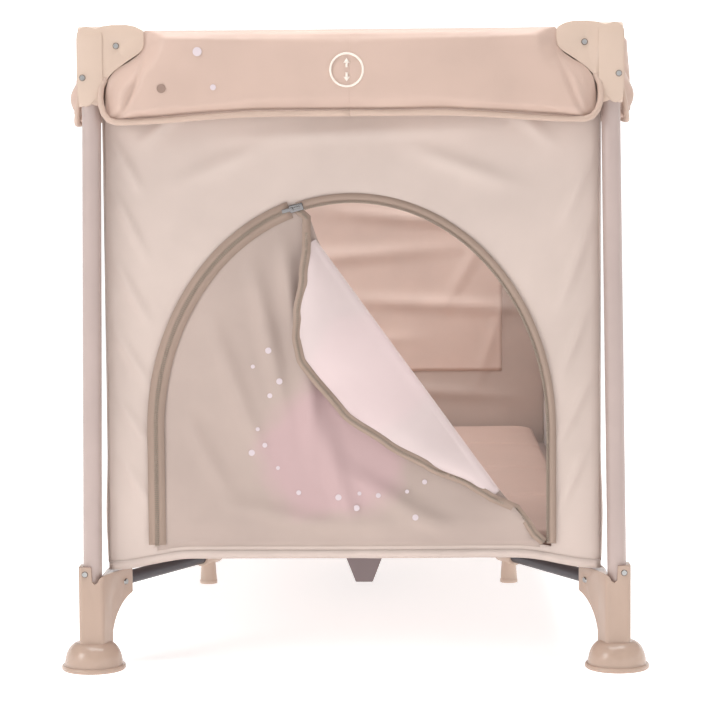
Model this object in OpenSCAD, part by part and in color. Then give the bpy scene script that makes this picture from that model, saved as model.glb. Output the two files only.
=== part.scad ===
// Folding playpen: four posts, an X base that rises at the hub, and top rails that break at
// their locks. X runs across the pen, Y along it with the door end at -Y, and Z up from the floor.

/* [Frame] */
// Half spacing of the posts across the pen, at the height of the rails
post_x = 298; // [294:1:302]
// Half spacing of the posts along the pen
post_y = 585; // [575:1:590]
// Outward lean of the posts across the pen, in degrees
post_lean = 0.8; // [0.4:0.1:1]
// Radius of a post tube
post_r = 11; // [10:0.5:11]
// Radius of a rail tube or base tube
tube_r = 8; // [7.5:0.25:8]
// Wall of every tube
tube_wall = 1.2; // [1:0.1:1.5]
// Height of the rail axis
rail_z = 726; // [724:1:728]
// Height of the base tube axis
base_z = 97; // [96:1:98]

/* [Pivots] */
// Rail pivot, inboard of the post axis
rail_pivot = 30; // [29:0.5:31]
// Base tube pivot, inboard of the post axis along the diagonal
foot_pivot = 48; // [47:0.5:49]
// Base tube pivot, from the middle of the hub
hub_pivot = 60; // [59:0.5:61]
// Radius of every pivot pin
pin_r = 2.5; // [2.25:0.25:2.75]
// Radial running clearance of a pivot pin
pin_gap = 0.05; // [0.03:0.01:0.1]
// Radial clearance at the far pin of each lock
open_gap = 0.5; // [0.3:0.1:0.6]

/* [Castings] */
// Reach of a corner casting, inboard of the post axis
cast_reach = 62; // [60:0.5:63]
// Half thickness of a casting lobe
lobe_half = 14; // [13.5:0.25:14]
// Half width of the sleeve round a post
sleeve_half = 15.5; // [15:0.25:15.5]
// Radius of a foot's rim
foot_r = 37.5; // [35:0.5:38]
// Height of a foot's dome
dome_h = 32; // [30:1:34]
// Top of a foot casting
foot_top = 122; // [120:1:124]
// Reach of a foot's arm along the diagonal
arm_reach = 62; // [61:0.5:63]

/* [Soft parts] */
// Inner face of the end walls, from the middle
wall_y = 570; // [560:1:570]
// Inner face of the side walls, from the middle
wall_x = 280.5; // [278:0.5:280.5]
// Thickness of the wall cloth
cloth = 3; // [2:0.25:3]
// Bottom of the walls
wall_z = 124; // [123.5:0.5:125]
// Top of the walls, under the rail pads
wall_top = 699.5; // [690:0.5:699.5]
// Bottom of the rail pads
pad_z = 646; // [640:1:650]
// Top of the pen
pen_z = 750; // [749:0.5:751]
// Thickness of the mattress
mattress_h = 32; // [25:1:35]

/* [Door] */
// Half width of the door arch
arch_half = 231; // [215:1:235]
// Height where the arch starts to bend
arch_spring = 280; // [260:5:300]
// Rise of the bent part of the arch
arch_rise = 270; // [250:5:275]
// Bottom of the door
door_z = 145; // [140:1:150]
// Where the zip slider stands, from the middle
slider_x = -64; // [-70:1:-58]

/* [Hidden] */
$fn = 64;

// The post axis leans out as it goes down, so the feet stand a little wider than the rails.
foot_x = post_x + (rail_z - base_z) * tan(post_lean);
diag_len = norm([foot_x, post_y]);
diag_angle = atan2(post_y, foot_x);
link = diag_len - foot_pivot - hub_pivot;

// A rail half spans the base tube's own span in plan, so rails and base fold by the same angle.
rail_link_x = link * cos(diag_angle);
rail_link_y = link * sin(diag_angle);
lock_half_x = post_x - rail_pivot - rail_link_x;
lock_half_y = post_y - rail_pivot - rail_link_y;

lip = 3.5;                                  // ledge round a foot's rim
stub = 6;                                   // tube past a pivot
swing_r = norm([stub, tube_r]) + 0.6;       // room that the stub needs as it turns
slot_half = tube_r + 0.6;                   // half width of every channel round a tube
tube_rest = tube_r + 0.4;                   // a tube lies this far off its channel's face
head_r = 3.8;
head_h = 1.6;

lock_cheek = 13;                            // half width of a lock housing
lock_up = 10;
lock_down = 16;
lock_end = 14;                              // housing past each pivot
button_r = 7;
button_drop = 3;                            // the button stands below the rail axis
boss_r = 9;
boss_out = 18;
button_in = 13.5;
button_out = 20;

leg_at = 409;                               // mid leg, from the middle of the hub
leg_bottom = 62;
hub_top = base_z + 14;
hub_bottom = base_z - 12;
hub_r = 36;
floor_z = 128;
seam_gap = 0.3;

pad_front_v = -26;                          // outer face of a pad, from the rail axis
pad_back_v = 20;
skirt_back_v = 6;
skirt_end = 17.5;                           // the skirt stops this far from the post axis
bulb_z = 700;
pad_half_x = post_x - cast_reach - 0.4;
pad_half_y = post_y - cast_reach - 0.4;

window_y = 480;                             // half length of a side window
window_low = 230;
window_high = 600;
window_round = 40;

crease_top = [-35, 493];                    // ends of the fold line of the turned corner
crease_low = [168, 212];
flap_keep = 0.68;                           // width that is left of the corner after its roll
flap_lift = 18;                             // lean of the turned corner off the wall
zip_half = 5;
zip_closed_half = 10;

cloth_colour = [0.86, 0.78, 0.74];
pad_colour = [0.84, 0.73, 0.67];
casting_colour = [0.84, 0.75, 0.69];
metal_colour = [0.80, 0.76, 0.74];
rivet_colour = [0.75, 0.75, 0.76];
grey_colour = [0.34, 0.32, 0.35];
lining_colour = [0.88, 0.82, 0.83];
mesh_colour = [0.80, 0.74, 0.72];

// ---- places -------------------------------------------------------------------------------

// A corner is drawn as the front left one, with its post at the origin and the pen at +X +Y.
module at_corner(sx, sy, x) {
    mirror([sx > 0 ? 1 : 0, 0, 0]) mirror([0, sy > 0 ? 1 : 0, 0])
        translate([-x, -post_y, 0]) children();
}

// Along the diagonal of the front left corner: +X runs from the post to the hub.
module along_diagonal() { rotate([0, 0, diag_angle]) children(); }

// A side is drawn as the front one, with the rail axis on the X axis and the pen at +Y.
module at_side(side) {
    if (side == "front") translate([0, -post_y, 0]) children();
    if (side == "rear") rotate([0, 0, 180]) translate([0, -post_y, 0]) children();
    if (side == "left") rotate([0, 0, -90]) translate([0, -post_x, 0]) children();
    if (side == "right") rotate([0, 0, 90]) translate([0, -post_x, 0]) children();
}

// Stands an outline drawn in (inboard, height) upright, thick across the middle plane.
module upright(half) { rotate([90, 0, 0]) translate([0, 0, -half]) linear_extrude(2 * half) children(); }

module rounded_box_2d(low, high, r) {
    for (x = [low[0] + r, high[0] - r], y = [low[1] + r, high[1] - r])
        translate([x, y]) circle(r);
    translate([low[0] + r, low[1]]) square([high[0] - low[0] - 2 * r, high[1] - low[1]]);
    translate([low[0], low[1] + r]) square([high[0] - low[0], high[1] - low[1] - 2 * r]);
}

// A pin along Y through the origin, with a head on each end when headed.
module pin_y(half, r, headed) {
    rotate([90, 0, 0]) translate([0, 0, -half]) cylinder(h = 2 * half, r = r);
    if (headed)
        for (s = [0, 1]) mirror([0, s, 0])
            translate([0, -half, 0]) rotate([90, 0, 0]) rivet_head();
}

module rivet_head() { cylinder(h = head_h, r1 = head_r, r2 = head_r - 0.9); }

// The room round a tube that turns on a pivot: drawn in (away from the stub, height).
module swing_room_2d(reach, up) {
    far = 60;
    circle(swing_r);
    if (up) translate([-slot_half, -tube_rest]) difference() {
        square([reach + slot_half, far]);
        square([slot_half, tube_rest]);
    }
    else translate([-slot_half, -far]) difference() {
        square([reach + slot_half, far + tube_rest]);
        translate([0, far]) square([slot_half, tube_rest]);
    }
}

// ---- posts and castings -------------------------------------------------------------------

module post_axis(r, low, high) {
    translate([0, 0, rail_z]) rotate([0, post_lean, 0]) translate([0, 0, low - rail_z])
        cylinder(h = high - low, r = r);
}

module post(sx, sy) {
    color(metal_colour) at_corner(sx, sy, post_x) difference() {
        post_axis(post_r, 46, 736);
        post_axis(post_r - tube_wall, 45, 737);
    }
}

// Outline of a casting lobe: inboard distance from the post axis, and height.
function lobe_points() = [
    [-sleeve_half, 676], [-13.5, 664], [-10, 658.5], [-6, 657], [-1, 658.5], [4, 664], [14, 681],
    [21, 691], [28, 698], [42, 708], [56, 717], [60.5, 722], [cast_reach, 728], [cast_reach, 740],
    [59, 744.5], [52, 748], [42, pen_z], [26, pen_z], [14, 748.5], [6, 745.5], [1, 747.5], [-3, 748.5],
    [-8, 748], [-12.5, 745], [-15, 740], [-sleeve_half, 734]
];

module casting(sx, sy) {
    color(casting_colour) at_corner(sx, sy, post_x) difference() {
        union() {
            for (swap = [0, 1]) mirror([swap, -swap, 0]) upright(lobe_half) polygon(lobe_points());
            intersection() {
                linear_extrude(pen_z) rounded_box_2d(
                    [-sleeve_half, -sleeve_half], [sleeve_half, sleeve_half], 6);
                upright(40) polygon(lobe_points());
                mirror([1, -1, 0]) upright(40) polygon(lobe_points());
            }
        }
        post_axis(post_r + 0.05, 600, 736.5);
        for (swap = [0, 1]) mirror([swap, -swap, 0]) translate([rail_pivot, 0, rail_z]) {
            upright(slot_half) swing_room_2d(60, false);
            pin_y(40, pin_r + pin_gap, false);
        }
    }
}

// What is cut off a foot's top, to leave one ear: inboard distance from the foot, and height.
function foot_notch() = [
    [0, foot_top + 5], [1, base_z + 8], [4, base_z + 5], [7.5, base_z + 7], [10, base_z + 12],
    [15, base_z + 15], [90, base_z + 15], [90, foot_top + 5]
];

// The flared foot, its sleeve, and the open arm that holds the base tube.
module foot(sx, sy) {
    dome_in = foot_r - lip - 17;
    arm_low = base_z - 14;
    color(casting_colour) at_corner(sx, sy, foot_x) difference() {
        union() {
            rotate_extrude() polygon(concat(
                [[0, 0], [foot_r - 1.5, 0], [foot_r, 1.5], [foot_r, 4], [foot_r - 1, 5.5]],
                [for (a = [0:10:90]) [17 + dome_in * cos(a), 5.5 + (dome_h - 5.5) * sin(a)]],
                [[0, dome_h]]));
            translate([0, 0, 20]) linear_extrude(foot_top - 20) hull() {
                rounded_box_2d([-15, -15], [15, 15], 5);
                translate([12.5, 12.5]) circle(9);
            }
            along_diagonal() upright(lobe_half) {
                translate([0, arm_low]) square([arm_reach, base_z + 15 - arm_low]);
                difference() {
                    translate([0, 30]) square([arm_reach - 1, arm_low - 29]);
                    translate([75, 27]) circle(57);
                }
            }
        }
        upright(60) polygon(foot_notch());
        translate([foot_x - post_x, 0, 0]) post_axis(post_r + 0.05, 45.5, 300);
        along_diagonal() translate([foot_pivot, 0, base_z]) {
            upright(slot_half) swing_room_2d(60, true);
            pin_y(40, pin_r + pin_gap, false);
        }
    }
}

module rivets(sx, sy) {
    color(rivet_colour) {
        at_corner(sx, sy, post_x) {
            for (swap = [0, 1]) mirror([swap, -swap, 0])
                translate([rail_pivot, 0, rail_z]) pin_y(lobe_half, pin_r, true);
            translate([-9, -sleeve_half, 690]) rotate([90, 0, 0]) rivet_head();
        }
        at_corner(sx, sy, foot_x) {
            along_diagonal() translate([foot_pivot, 0, base_z]) pin_y(lobe_half, pin_r, true);
            translate([-7, -15, 114]) rotate([90, 0, 0]) rivet_head();
        }
    }
}

// ---- base ---------------------------------------------------------------------------------

// A tube along +X from one stub to the other, drilled across at both pivots.
module drilled_tube(from, to, r_from, r_to) {
    difference() {
        translate([from - stub, 0, 0]) rotate([0, 90, 0]) difference() {
            cylinder(h = to - from + 2 * stub, r = tube_r);
            translate([0, 0, -1]) cylinder(h = to - from + 2 * stub + 2, r = tube_r - tube_wall);
        }
        translate([from, 0, 0]) pin_y(20, r_from, false);
        translate([to, 0, 0]) pin_y(20, r_to, false);
    }
}

module base_tube(sx, sy) {
    fit_r = pin_r + pin_gap;
    color(grey_colour) at_corner(sx, sy, foot_x) along_diagonal() translate([0, 0, base_z])
        drilled_tube(foot_pivot, diag_len - hub_pivot, fit_r, fit_r);
}

module mid_leg(sx, sy) {
    color(casting_colour) at_corner(sx, sy, foot_x) along_diagonal()
        translate([diag_len - leg_at, 0, 0]) difference() {
            union() {
                translate([-18, 0, base_z]) rotate([0, 90, 0]) cylinder(h = 36, r = 11);
                translate([0, 0, leg_bottom + 4]) cylinder(h = base_z - leg_bottom - 4, r1 = 10.5, r2 = 8.5);
                translate([0, 0, leg_bottom]) cylinder(h = 4, r = 11);
            }
            translate([-40, 0, base_z]) rotate([0, 90, 0]) cylinder(h = 80, r = tube_r + 0.03);
        }
}

// Calls its child once along each diagonal, with +X pointing out of the hub.
module on_diagonals() {
    for (a = [diag_angle, 180 - diag_angle, 180 + diag_angle, -diag_angle])
        rotate([0, 0, a]) children();
}

module hub_body() {
    color(grey_colour) difference() {
        union() {
            translate([0, 0, hub_bottom]) cylinder(h = hub_top - hub_bottom, r = hub_r);
            on_diagonals() translate([20, -lobe_half, hub_bottom])
                cube([54, 2 * lobe_half, hub_top - hub_bottom]);
        }
        on_diagonals() translate([hub_pivot, 0, base_z]) {
            upright(slot_half) swing_room_2d(60, false);
            pin_y(40, pin_r + pin_gap, false);
        }
    }
}

module hub_rivets() {
    color(rivet_colour) on_diagonals()
        translate([hub_pivot, 0, base_z]) pin_y(lobe_half, pin_r, true);
}

module hub_foot() {
    color([0.53, 0.47, 0.48]) upright(10)
        polygon([[-12, 0], [12, 0], [26, 36], [30, hub_bottom], [-30, hub_bottom], [-26, 36]]);
}

module pull_strap() {
    color(grey_colour) translate([-20, -11, hub_top]) cube([40, 22, 7]);
}

// ---- rails and locks ----------------------------------------------------------------------

// Half of a rail: hand -1 is the half whose lock pin runs close, and +1 the half with the open pin.
module rail(side, hand, half_span, lock_half) {
    color(metal_colour) at_side(side) translate([0, 0, rail_z]) mirror([hand > 0 ? 1 : 0, 0, 0])
        drilled_tube(-(half_span - rail_pivot), -lock_half,
            pin_r + pin_gap, pin_r + (hand > 0 ? open_gap : pin_gap));
}

// The housing between two rail halves, open above so that the rails can swing up.
module lock(side, lock_half) {
    reach = lock_half + lock_end;
    core = lock_half - swing_r - 1;
    color(grey_colour) at_side(side) translate([0, 0, rail_z]) {
        difference() {
            union() {
                upright(lock_cheek) rounded_box_2d([-reach, -lock_down], [reach, lock_up], 4);
                translate([0, -lock_cheek, -button_drop]) rotate([90, 0, 0])
                    cylinder(h = boss_out - lock_cheek, r = boss_r);
            }
            difference() {
                translate([-reach - 1, -slot_half, -swing_r - 0.4])
                    cube([2 * reach + 2, 2 * slot_half, 60]);
                if (core > 5) translate([-core, -slot_half - 1, -30])
                    cube([2 * core, 2 * slot_half + 2, 60]);
            }
            translate([0, -slot_half, -button_drop]) rotate([90, 0, 0])
                cylinder(h = 40, r = button_r + 0.15);
            for (x = [-lock_half, lock_half])
                translate([x, 0, 0]) pin_y(40, pin_r + pin_gap, false);
        }
        for (x = [-lock_half, lock_half])
            translate([x, 0, 0]) pin_y(lock_cheek, pin_r, false);
    }
}

module button(side) {
    color([0.70, 0.66, 0.64]) at_side(side) translate([0, -button_in, rail_z - button_drop])
        rotate([90, 0, 0]) cylinder(h = button_out - button_in, r = button_r);
}

// ---- soft parts ---------------------------------------------------------------------------

// The skirt of a pad, as long as it can run between the posts.
module pad_skirt(half) {
    rotate([90, 0, 90]) translate([0, 0, -half]) linear_extrude(2 * half)
        rounded_box_2d([pad_front_v, pad_z], [skirt_back_v, bulb_z + 20], 6);
}

// Outline of the skirt's ends under the castings: inboard distance from the post, and height.
function skirt_points() = [
    [skirt_end, pad_z - 1], [skirt_end, 679], [23, 688], [30, 696], [43, 705.5], [57, 714], [90, 714],
    [90, pad_z - 1]
];

// A padded sleeve round a rail and its lock, with a skirt that hangs outside the wall.
module pad(side, half, lock_half) {
    lock_room = lock_half + lock_end + 2;
    post = half + cast_reach + 0.4;
    color(pad_colour) at_side(side) difference() {
        union() {
            rotate([90, 0, 90]) translate([0, 0, -half]) linear_extrude(2 * half)
                rounded_box_2d([pad_front_v, bulb_z], [pad_back_v, pen_z], 12);
            pad_skirt(half);
            for (s = [0, 1]) mirror([s, 0, 0]) intersection() {
                pad_skirt(post - skirt_end);
                translate([-post, 0, 0]) upright(60) polygon(skirt_points());
            }
        }
        translate([-half - 1, -9, rail_z - 9]) cube([2 * half + 2, 18, 18]);
        translate([-lock_room, -21.5, rail_z - 18]) cube([2 * lock_room, 37, 30]);
    }
}

function arch_points(inset) = let (a = arch_half - inset, b = arch_rise - inset) concat(
    [[a, door_z - 1]],
    [for (t = [0:5:180]) [a * cos(t), arch_spring + b * sin(t)]],
    [[-a, door_z - 1]]);

// Half plane on one side of the fold line: -1 keeps the flat side, +1 the turned side.
module crease_side(s) {
    run = crease_low - crease_top;
    translate(crease_top) rotate([0, 0, atan2(run[1], run[0])])
        translate([-900, s > 0 ? 0 : -900]) square([1800, 900]);
}

// The top corners are cut off, to pass inside the castings.
module end_wall_2d() {
    half = wall_x - seam_gap;
    polygon([[-half, wall_z], [half, wall_z], [half, wall_top - 18], [half - 15, wall_top],
        [15 - half, wall_top], [-half, wall_top - 18]]);
}

module wall_front() {
    color(cloth_colour) translate([0, -wall_y - cloth / 2, 0]) upright(cloth / 2) difference() {
        end_wall_2d();
        polygon(arch_points(0));
    }
}

module wall_rear() {
    color(cloth_colour) translate([0, wall_y + cloth / 2, 0]) upright(cloth / 2) end_wall_2d();
}

module window_2d(shrink) {
    rounded_box_2d([-window_y + shrink, window_low + shrink],
        [window_y - shrink, window_high - shrink], window_round - shrink);
}

// A side sheet drawn in (along the pen, height), its inner face off the middle by x.
module side_sheet(s, x, thick) {
    translate([s > 0 ? x : -x - thick, 0, 0]) rotate([90, 0, 90]) linear_extrude(thick) children();
}

module wall_side(s) {
    color(cloth_colour) side_sheet(s, wall_x, cloth) difference() {
        translate([-wall_y + seam_gap, wall_z])
            square([2 * (wall_y - seam_gap), wall_top - wall_z]);
        window_2d(0);
    }
}

module mesh_window(s) {
    color(mesh_colour) side_sheet(s, wall_x + 1, 1) window_2d(seam_gap);
}

module tub_floor() {
    color(cloth_colour) translate([-wall_x + seam_gap, -wall_y + seam_gap, floor_z])
        cube([2 * (wall_x - seam_gap), 2 * (wall_y - seam_gap), cloth]);
}

module mattress() {
    color([0.76, 0.63, 0.58]) translate([0, 0, floor_z + cloth + seam_gap])
        linear_extrude(mattress_h)
        rounded_box_2d([-wall_x + 4, -wall_y + 4], [wall_x - 4, wall_y - 4], 12);
}

// The closed part of the door in the wall's plane, and its corner turned out over the fold line.
module door_flap() {
    run = crease_low - crease_top;
    tilt = atan2(run[1], run[0]);
    color(cloth_colour) translate([0, -wall_y - cloth / 2, 0]) {
        upright(cloth / 2) intersection() {
            translate([-300, door_z]) square([600, 500]);
            polygon(arch_points(seam_gap));
            crease_side(-1);
        }
    }
    color(lining_colour) translate([crease_top[0], -wall_y - cloth, crease_top[1]])
        rotate([0, -tilt, 0]) rotate([-flap_lift, 0, 0]) upright(cloth / 2)
        polygon(concat([[0, 0], [norm(run), 0]],
            [for (p = turned_points(tilt)) [p[0], -flap_keep * p[1]]]));
}

// The turned corner's outline in the fold line's own frame, with the fold line on the first axis.
function turned_points(tilt) = [
    for (p = arch_points(4))
        let (d = p - crease_top, u = d[0] * cos(tilt) + d[1] * sin(tilt),
             v = d[1] * cos(tilt) - d[0] * sin(tilt))
        if (v > 16 && p[1] > door_z + 60) [u, v]
];

module zip_tape() {
    color([0.76, 0.71, 0.66]) translate([0, -wall_y - cloth - seam_gap - 1, 0]) upright(1) {
        difference() {
            polygon(arch_points(-zip_half));
            polygon(arch_points(zip_half));
            translate([-400, 0]) square([800, door_z]);
        }
        intersection() {
            difference() {
                polygon(arch_points(-zip_closed_half));
                polygon(arch_points(zip_closed_half));
            }
            translate([-400, door_z]) square([400 + slider_x, 600]);
        }
    }
}

module zip_slider() {
    slider_z = arch_spring + arch_rise * sqrt(1 - pow(slider_x / arch_half, 2));
    color(rivet_colour) translate([slider_x, -wall_y - cloth - seam_gap - 2.3, slider_z]) {
        rotate([0, -15, 0]) translate([-9, -4, -5]) cube([18, 4, 10]);
        translate([-3, -6, -30]) cube([6, 1.6, 32]);
        translate([-3, -5, -2]) cube([6, 3, 4]);
    }
}

module rear_pocket() {
    color([0.78, 0.66, 0.60]) translate([0, wall_y + cloth + seam_gap + 1.5, 0]) upright(1.5)
        rounded_box_2d([-218, 250], [218, 600], 20);
}

post(-1, -1);  // post_front_left
post(1, -1);  // post_front_right
post(-1, 1);  // post_rear_left
post(1, 1);  // post_rear_right
casting(-1, -1);  // casting_front_left
casting(1, -1);  // casting_front_right
casting(-1, 1);  // casting_rear_left
casting(1, 1);  // casting_rear_right
foot(-1, -1);  // foot_front_left
foot(1, -1);  // foot_front_right
foot(-1, 1);  // foot_rear_left
foot(1, 1);  // foot_rear_right
rivets(-1, -1);  // rivets_front_left
rivets(1, -1);  // rivets_front_right
rivets(-1, 1);  // rivets_rear_left
rivets(1, 1);  // rivets_rear_right
base_tube(-1, -1);  // base_tube_front_left
base_tube(1, -1);  // base_tube_front_right
base_tube(-1, 1);  // base_tube_rear_left
base_tube(1, 1);  // base_tube_rear_right
mid_leg(-1, -1);  // mid_leg_front_left
mid_leg(1, -1);  // mid_leg_front_right
mid_leg(-1, 1);  // mid_leg_rear_left
mid_leg(1, 1);  // mid_leg_rear_right
hub_body();
hub_rivets();
hub_foot();
pull_strap();
rail("front", -1, post_x, lock_half_x);  // rail_front_left
rail("front", 1, post_x, lock_half_x);  // rail_front_right
rail("rear", 1, post_x, lock_half_x);  // rail_rear_left
rail("rear", -1, post_x, lock_half_x);  // rail_rear_right
rail("left", 1, post_y, lock_half_y);  // rail_left_front
rail("left", -1, post_y, lock_half_y);  // rail_left_rear
rail("right", -1, post_y, lock_half_y);  // rail_right_front
rail("right", 1, post_y, lock_half_y);  // rail_right_rear
lock("front", lock_half_x);  // lock_front
lock("rear", lock_half_x);  // lock_rear
lock("left", lock_half_y);  // lock_left
lock("right", lock_half_y);  // lock_right
button("front");  // button_front
button("rear");  // button_rear
button("left");  // button_left
button("right");  // button_right
pad("front", pad_half_x, lock_half_x);  // pad_front
pad("rear", pad_half_x, lock_half_x);  // pad_rear
pad("left", pad_half_y, lock_half_y);  // pad_left
pad("right", pad_half_y, lock_half_y);  // pad_right
wall_front();
wall_rear();
wall_side(-1);  // wall_left
wall_side(1);  // wall_right
mesh_window(-1);  // mesh_left
mesh_window(1);  // mesh_right
tub_floor();
mattress();
door_flap();
zip_tape();
zip_slider();
rear_pocket();
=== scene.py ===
# %% [markdown]
# A folding playpen, seen from its door end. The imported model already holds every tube, casting and
# lock in its place, in metres. This file gives those parts their finishes and sews the soft parts:
# walls, padded rails, door, zip, mattress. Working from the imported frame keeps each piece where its
# real neighbour is, so nothing has to be fitted by eye.

# %% The frame and its box
import bpy
import bmesh
import math
from mathutils import Matrix, Vector, noise


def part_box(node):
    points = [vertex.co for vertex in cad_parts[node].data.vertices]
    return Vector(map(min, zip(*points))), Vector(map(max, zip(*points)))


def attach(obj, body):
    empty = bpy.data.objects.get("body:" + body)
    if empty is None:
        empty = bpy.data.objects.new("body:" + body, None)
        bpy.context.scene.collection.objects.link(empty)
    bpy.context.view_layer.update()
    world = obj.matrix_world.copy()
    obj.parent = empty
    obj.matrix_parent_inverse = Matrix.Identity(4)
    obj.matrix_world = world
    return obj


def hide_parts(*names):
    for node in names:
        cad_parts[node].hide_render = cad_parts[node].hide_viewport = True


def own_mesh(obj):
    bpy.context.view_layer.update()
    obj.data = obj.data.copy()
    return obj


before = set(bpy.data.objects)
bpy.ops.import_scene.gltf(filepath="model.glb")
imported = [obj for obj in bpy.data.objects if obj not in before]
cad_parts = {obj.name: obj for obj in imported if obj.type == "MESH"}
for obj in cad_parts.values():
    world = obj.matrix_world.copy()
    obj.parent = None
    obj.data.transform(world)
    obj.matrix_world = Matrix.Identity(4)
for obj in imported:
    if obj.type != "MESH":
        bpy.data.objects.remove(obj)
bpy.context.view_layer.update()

# %% [markdown]
# The sizes that the soft parts share are read off the frame: where the posts stand, where the rails run,
# and where the cloth walls hang. The arch of the door is the pen's own. A cell of 6 mm is fine enough for
# the folds of a wall and coarse enough to stay light. When the pen folds, real cloth is crumpled into a
# bundle.

# %% Shared sizes
POST_X = (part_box("rail_right_front")[0][0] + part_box("rail_right_front")[1][0]) / 2
POST_Y = (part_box("rail_rear_left")[0][1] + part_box("rail_rear_left")[1][1]) / 2
RAIL_Z = (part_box("rail_front_left")[0][2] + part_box("rail_front_left")[1][2]) / 2
WALL_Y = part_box("wall_rear")[0][1]
WALL_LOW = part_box("wall_rear")[0][2]
WALL_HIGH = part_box("wall_rear")[1][2]
PAD_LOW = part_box("pad_front")[0][2]
PAD_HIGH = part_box("pad_front")[1][2]
ARCH_HALF = 0.231
ARCH_SPRING = 0.280
ARCH_RISE = 0.270
DOOR_LOW = 0.145
CELL = 0.006
SIDE_X = 0.2888                 # the cloth of the long walls
FRONT_Y = -WALL_Y - 0.0015      # the cloth of the door wall
CLOTH_DEPTH = 0.0012
print("posts", round(POST_X, 3), round(POST_Y, 3), "walls", WALL_Y, WALL_LOW, WALL_HIGH)

# %% [markdown]
# Every piece ends the same way: its bmesh becomes an object at the origin, smooth shaded, with its
# material, and it rides on the body that carries the real piece. One helper does that, so that no
# piece is forgotten.

# %% Turning a bmesh into a piece
def make_piece(name, bm, material, body, hides=()):
    bm.normal_update()
    mesh = bpy.data.meshes.new(name)
    bm.to_mesh(mesh)
    bm.free()
    for face in mesh.polygons:
        face.use_smooth = True
    piece = bpy.data.objects.new(name, mesh)
    bpy.context.scene.collection.objects.link(piece)
    mesh.materials.append(material)
    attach(piece, body)
    if hides:
        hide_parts(*hides)
    return piece


def thicken(piece, depth):
    shell = piece.modifiers.new("cloth thickness", "SOLIDIFY")
    shell.thickness = depth
    shell.offset = 0.0


def gather_to_post(piece):
    """Gives the piece a mesh of its own."""
    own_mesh(piece)


def drop_with_rail(piece):
    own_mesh(piece)


# %% [markdown]
# Finishes come next, and they are all built from a few small tools: one starts a material, one adds
# a node with its values, one lets a colour wander between two shades, and one adds a soft patch of
# another tint, as on a printed cloth. Node trees made by such tools read almost like a recipe.

# %% Small tools for node materials
def start_material(name, colour, roughness):
    material = bpy.data.materials.new(name)
    material.use_nodes = True
    shader = material.node_tree.nodes["Principled BSDF"]
    shader.inputs["Base Color"].default_value = (*colour, 1)
    shader.inputs["Roughness"].default_value = roughness
    return material, material.node_tree, shader


def add_node(tree, kind, **values):
    node = tree.nodes.new(kind)
    for name, value in values.items():
        if name in node.inputs:
            node.inputs[name].default_value = value
        else:
            setattr(node, name, value)
    return node


def mottled(tree, vector, scale, low, high):
    cloud = add_node(tree, "ShaderNodeTexNoise", Scale=scale, Detail=3.0)
    tree.links.new(vector, cloud.inputs["Vector"])
    ramp = tree.nodes.new("ShaderNodeValToRGB")
    ramp.color_ramp.elements[0].position = 0.32
    ramp.color_ramp.elements[1].position = 0.68
    ramp.color_ramp.elements[0].color = (*low, 1)
    ramp.color_ramp.elements[1].color = (*high, 1)
    tree.links.new(cloud.outputs["Fac"], ramp.inputs["Fac"])
    return ramp.outputs["Color"]


def tinted(material, centre, radius, colour, amount):
    """A soft round patch of another colour, placed in metres on the cloth's own map."""
    tree = material.node_tree
    shader = tree.nodes["Principled BSDF"]
    under = shader.inputs["Base Color"].links[0].from_socket
    place = tree.nodes.new("ShaderNodeUVMap")
    place.uv_map = "cloth"
    wander = add_node(tree, "ShaderNodeTexNoise", Scale=14.0, Detail=3.0)
    tree.links.new(place.outputs["UV"], wander.inputs["Vector"])
    moved = add_node(tree, "ShaderNodeVectorMath", operation="MULTIPLY_ADD")
    moved.inputs[1].default_value = (0.05, 0.05, 0.0)
    tree.links.new(wander.outputs["Color"], moved.inputs[0])
    tree.links.new(place.outputs["UV"], moved.inputs[2])
    away = add_node(tree, "ShaderNodeVectorMath", operation="DISTANCE")
    away.inputs[1].default_value = (centre[0] + 0.025, centre[1] + 0.025, 0.0)
    tree.links.new(moved.outputs["Vector"], away.inputs[0])
    fade = add_node(tree, "ShaderNodeMapRange", interpolation_type="SMOOTHSTEP")
    fade.inputs["From Min"].default_value = radius * 0.75
    fade.inputs["From Max"].default_value = radius * 1.15
    fade.inputs["To Min"].default_value = amount
    fade.inputs["To Max"].default_value = 0.0
    tree.links.new(away.outputs["Value"], fade.inputs["Value"])
    mix = add_node(tree, "ShaderNodeMix", data_type="RGBA")
    mix.inputs["B"].default_value = (*colour, 1)
    tree.links.new(fade.outputs["Result"], mix.inputs["Factor"])
    tree.links.new(under, mix.inputs["A"])
    tree.links.new(mix.outputs["Result"], shader.inputs["Base Color"])


def shade(colour, factor):
    return tuple(min(1.0, c * factor) for c in colour)


# %% [markdown]
# A real cloth is thread over thread, so its bump is two sets of fine bands crossed, and its colour
# wanders a little over a hand's breadth. The bands read the piece's own UV map, which holds metres
# along the cloth, so the weave stays the same size on every piece and turns with it. A picture of
# cloth would do too, but it would repeat and blur.

# %% A woven cloth
WAVE_REPEAT = 0.31416           # a wave texture of scale 1 repeats after this many metres


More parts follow.
